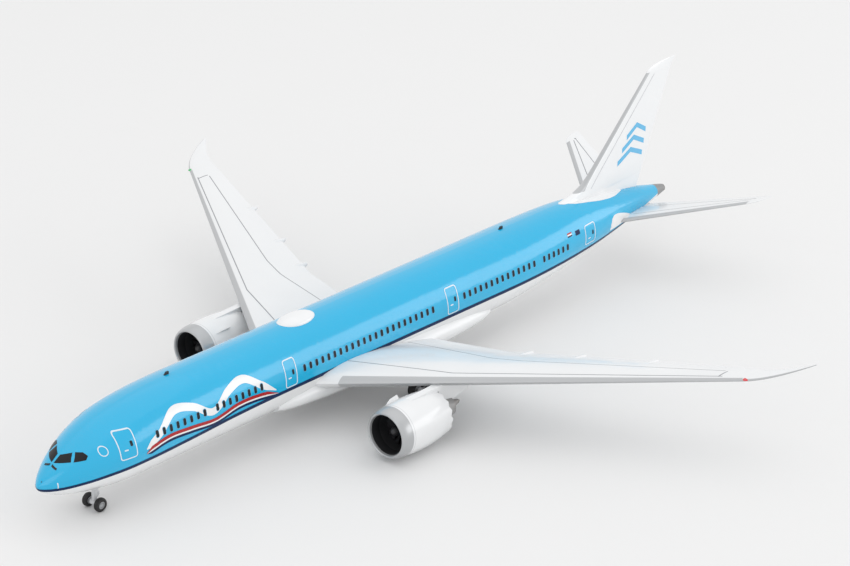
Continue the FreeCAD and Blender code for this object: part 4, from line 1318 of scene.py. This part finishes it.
@dataclass
class LegFittings(Assembly):
    """Torque links on the landing gear's legs."""

    main: Pair = (33.6, 4.9)
    main_span: Pair = (0.95, 1.75)
    nose: float = 5.05
    nose_span: Pair = (0.78, 1.35)
    hinge_out: float = 0.12
    knee_out: float = 0.42
    section: Pair = (0.0011, 0.0004)

    def bar(self, name: str, start: Vector, end: Vector, breadth: float, depth: float) -> Piece:
        """A flat bar with rounded edges between two points.

        Args:
            name: The bar's name.
            start: Its lower end.
            end: Its upper end.
            breadth: Its breadth across the aircraft, in metres of the model.
            depth: Its thickness, in metres of the model.

        Returns:
            The bar.
        """
        Bench.clear()
        run = end - start
        bpy.ops.mesh.primitive_cube_add(size=1.0, location=(0.0, 0.0, 0.0))
        bpy.context.active_object.scale = (depth, breadth, run.length)
        piece = Bench.started(name)
        Bench.edit(piece)
        bpy.ops.mesh.bevel(offset=min(depth, breadth) * 0.3, segments=2, affect="EDGES")
        Bench.close()
        piece.rotation_euler = run.to_track_quat("Z", "Y").to_euler()
        piece.location = (start + end) / 2
        Bench.only(piece)
        bpy.ops.object.transform_apply(location=True, rotation=True, scale=True)
        return piece

    def links(self, name: str, x: float, y: float, low: float, high: float) -> None:
        """A pair of torque links behind a leg.

        Args:
            name: The piece's name.
            x: The leg's station.
            y: The leg's breadth.
            low: Height of the lower end.
            high: Height of the upper end.
        """
        knee = place(x + self.knee_out, y, (low + high) / 2)
        lower = self.bar(name, place(x + self.hinge_out, y, low), knee, *self.section)
        upper = self.bar(name, knee, place(x + self.hinge_out, y, high), *self.section)
        self.fitter.fit(Bench.join([lower, upper], name), self.paints.leg, Slot.WHITE)

    def build(self) -> None:
        """Fits the links of all three legs."""
        self.links("nose_torque_links", self.nose, 0.0, *self.nose_span)
        for side in Side:
            name, x, y = f"{side.name.lower()}_torque_links", self.main[0], side.value * self.main[1]
            self.links(name, x, y, *self.main_span)


# ---- the studio ----
@dataclass
class Studio:
    """Pale floor, soft lights and the camera."""

    camera_at: Triple = (-120.332, -139.2708, 100.9462)
    yaw: float = 0.8508
    pitch: float = -0.4226
    roll: float = 0.0215
    lens: float = 132.1
    sensor: float = 36.0
    floor_size: float = 6.0
    floor_drop: float = 0.00002
    surroundings: float = 0.93
    lamps: tuple[tuple[str, Triple, Triple, Pair, float], ...] = (
        ("overhead", (0.0, 0.1, 1.5), (0.0, 0.0, 0.0), (2.2, 2.0), 3.6),
        ("port_bank", (0.95, -0.95, 0.42), (0.05, 0.0, 0.05), (1.3, 0.6), 4.0),
        ("nose_bank", (-1.3, -0.3, 0.9), (0.0, 0.0, 0.03), (0.9, 0.7), 1.6))

    def build_floor(self) -> None:
        """A wide pale floor that the tyres stand on."""
        Bench.clear()
        bpy.ops.mesh.primitive_plane_add(size=self.floor_size, location=(0.0, 0.0, -self.floor_drop))
        floor = Bench.started("studio_floor")
        made = Shader("studio_floor")
        grain = made.noise(40.0, 3.0)
        made.set("Base Color", made.blend(grain * 0.2, (0.80, 0.80, 0.80), (0.77, 0.77, 0.77)))
        made.set("Roughness", 0.8)
        made.set("Specular IOR Level", 0.1)
        floor.data.materials.append(made.material)

    def build_lights(self) -> None:
        """Even white surroundings, a large lamp overhead, one to port and one ahead."""
        world = bpy.data.worlds.new("studio")
        bpy.context.scene.world = world
        world.use_nodes = True
        world.node_tree.nodes["Background"].inputs["Color"].default_value = (1.0, 1.0, 1.0, 1.0)
        world.node_tree.nodes["Background"].inputs["Strength"].default_value = self.surroundings
        for lamp in self.lamps:
            self.lamp(*lamp)

    def lamp(self, name: str, at: Triple, to: Triple,
             size: Pair, power: float) -> None:
        """Adds one soft lamp.

        Args:
            name: The lamp's name.
            at: Where it hangs, in metres.
            to: What it points at.
            size: Its breadth and height.
            power: Its power in watts.
        """
        light = bpy.data.lights.new(name, "AREA")
        light.shape = "RECTANGLE"
        light.size, light.size_y = size
        light.energy = power
        hung = bpy.data.objects.new(name, light)
        bpy.context.scene.collection.objects.link(hung)
        hung.location = at
        hung.rotation_euler = (Vector(to) - Vector(at)).to_track_quat("-Z", "Y").to_euler()

    def build_camera(self) -> None:
        """Sets the camera up at the display angle."""
        cos_pitch = math.cos(self.pitch)
        ahead = Vector((math.sin(self.yaw) * cos_pitch, math.cos(self.yaw) * cos_pitch, math.sin(self.pitch)))
        right = ahead.cross(Vector((0.0, 0.0, 1.0))).normalized()
        up = right.cross(ahead)
        rolled_right = right * math.cos(self.roll) + up * math.sin(self.roll)
        rolled_up = up * math.cos(self.roll) - right * math.sin(self.roll)
        camera = bpy.data.cameras.new("display_camera")
        camera.lens = self.lens
        camera.sensor_width = self.sensor
        camera.clip_start = 0.01
        stood = bpy.data.objects.new("display_camera", camera)
        bpy.context.scene.collection.objects.link(stood)
        turned = Matrix((rolled_right, rolled_up, -ahead)).transposed()
        stood.matrix_world = Matrix.Translation(place(*self.camera_at)) @ turned.to_4x4()
        bpy.context.scene.camera = stood

    def build(self) -> None:
        """Sets up floor, lights and camera."""
        self.build_camera()
        self.build_floor()
        self.build_lights()
        bpy.context.scene.view_settings.view_transform = "Standard"


def joined_skin(nodes: Iterable[str], name: str) -> Piece:
    """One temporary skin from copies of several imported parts.

    Args:
        nodes: The parts.
        name: The skin's name.

    Returns:
        The skin.
    """
    skin = Bench.join([Bench.copy(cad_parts[node], name) for node in nodes], name)
    skin.parent = None
    Bench.edit(skin)
    bpy.ops.mesh.remove_doubles(threshold=Bench.HAIR)
    Bench.close()
    return skin


def main() -> None:
    """Builds and dresses the whole model, then sets up the studio."""
    logging.basicConfig(level=logging.INFO, format="%(message)s")
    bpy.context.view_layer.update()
    paints, fitter = Paintbox(), Fitter()
    airframe = Airframe(fitter, paints)
    airframe.dress()
    airframe.dress_wheels()
    body_skin = joined_skin(("upper_fuselage_shell", "lower_fuselage_shell"), "body_skin")
    fin_skin = joined_skin(("vertical_fin",), "fin_skin")
    for assembly in (Cheatline, CabinWindows, CabinDoors, SideMarkings, FlightDeck):
        assembly(fitter, paints, body_skin).build()
    TailMarkings(fitter, paints, fin_skin).build()
    TipLamps(fitter, paints).build()
    LegFittings(fitter, paints).build()
    for skin in (body_skin, fin_skin):
        bpy.data.objects.remove(skin)
    Studio().build()
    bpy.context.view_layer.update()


if __name__ == "__main__":
    main()
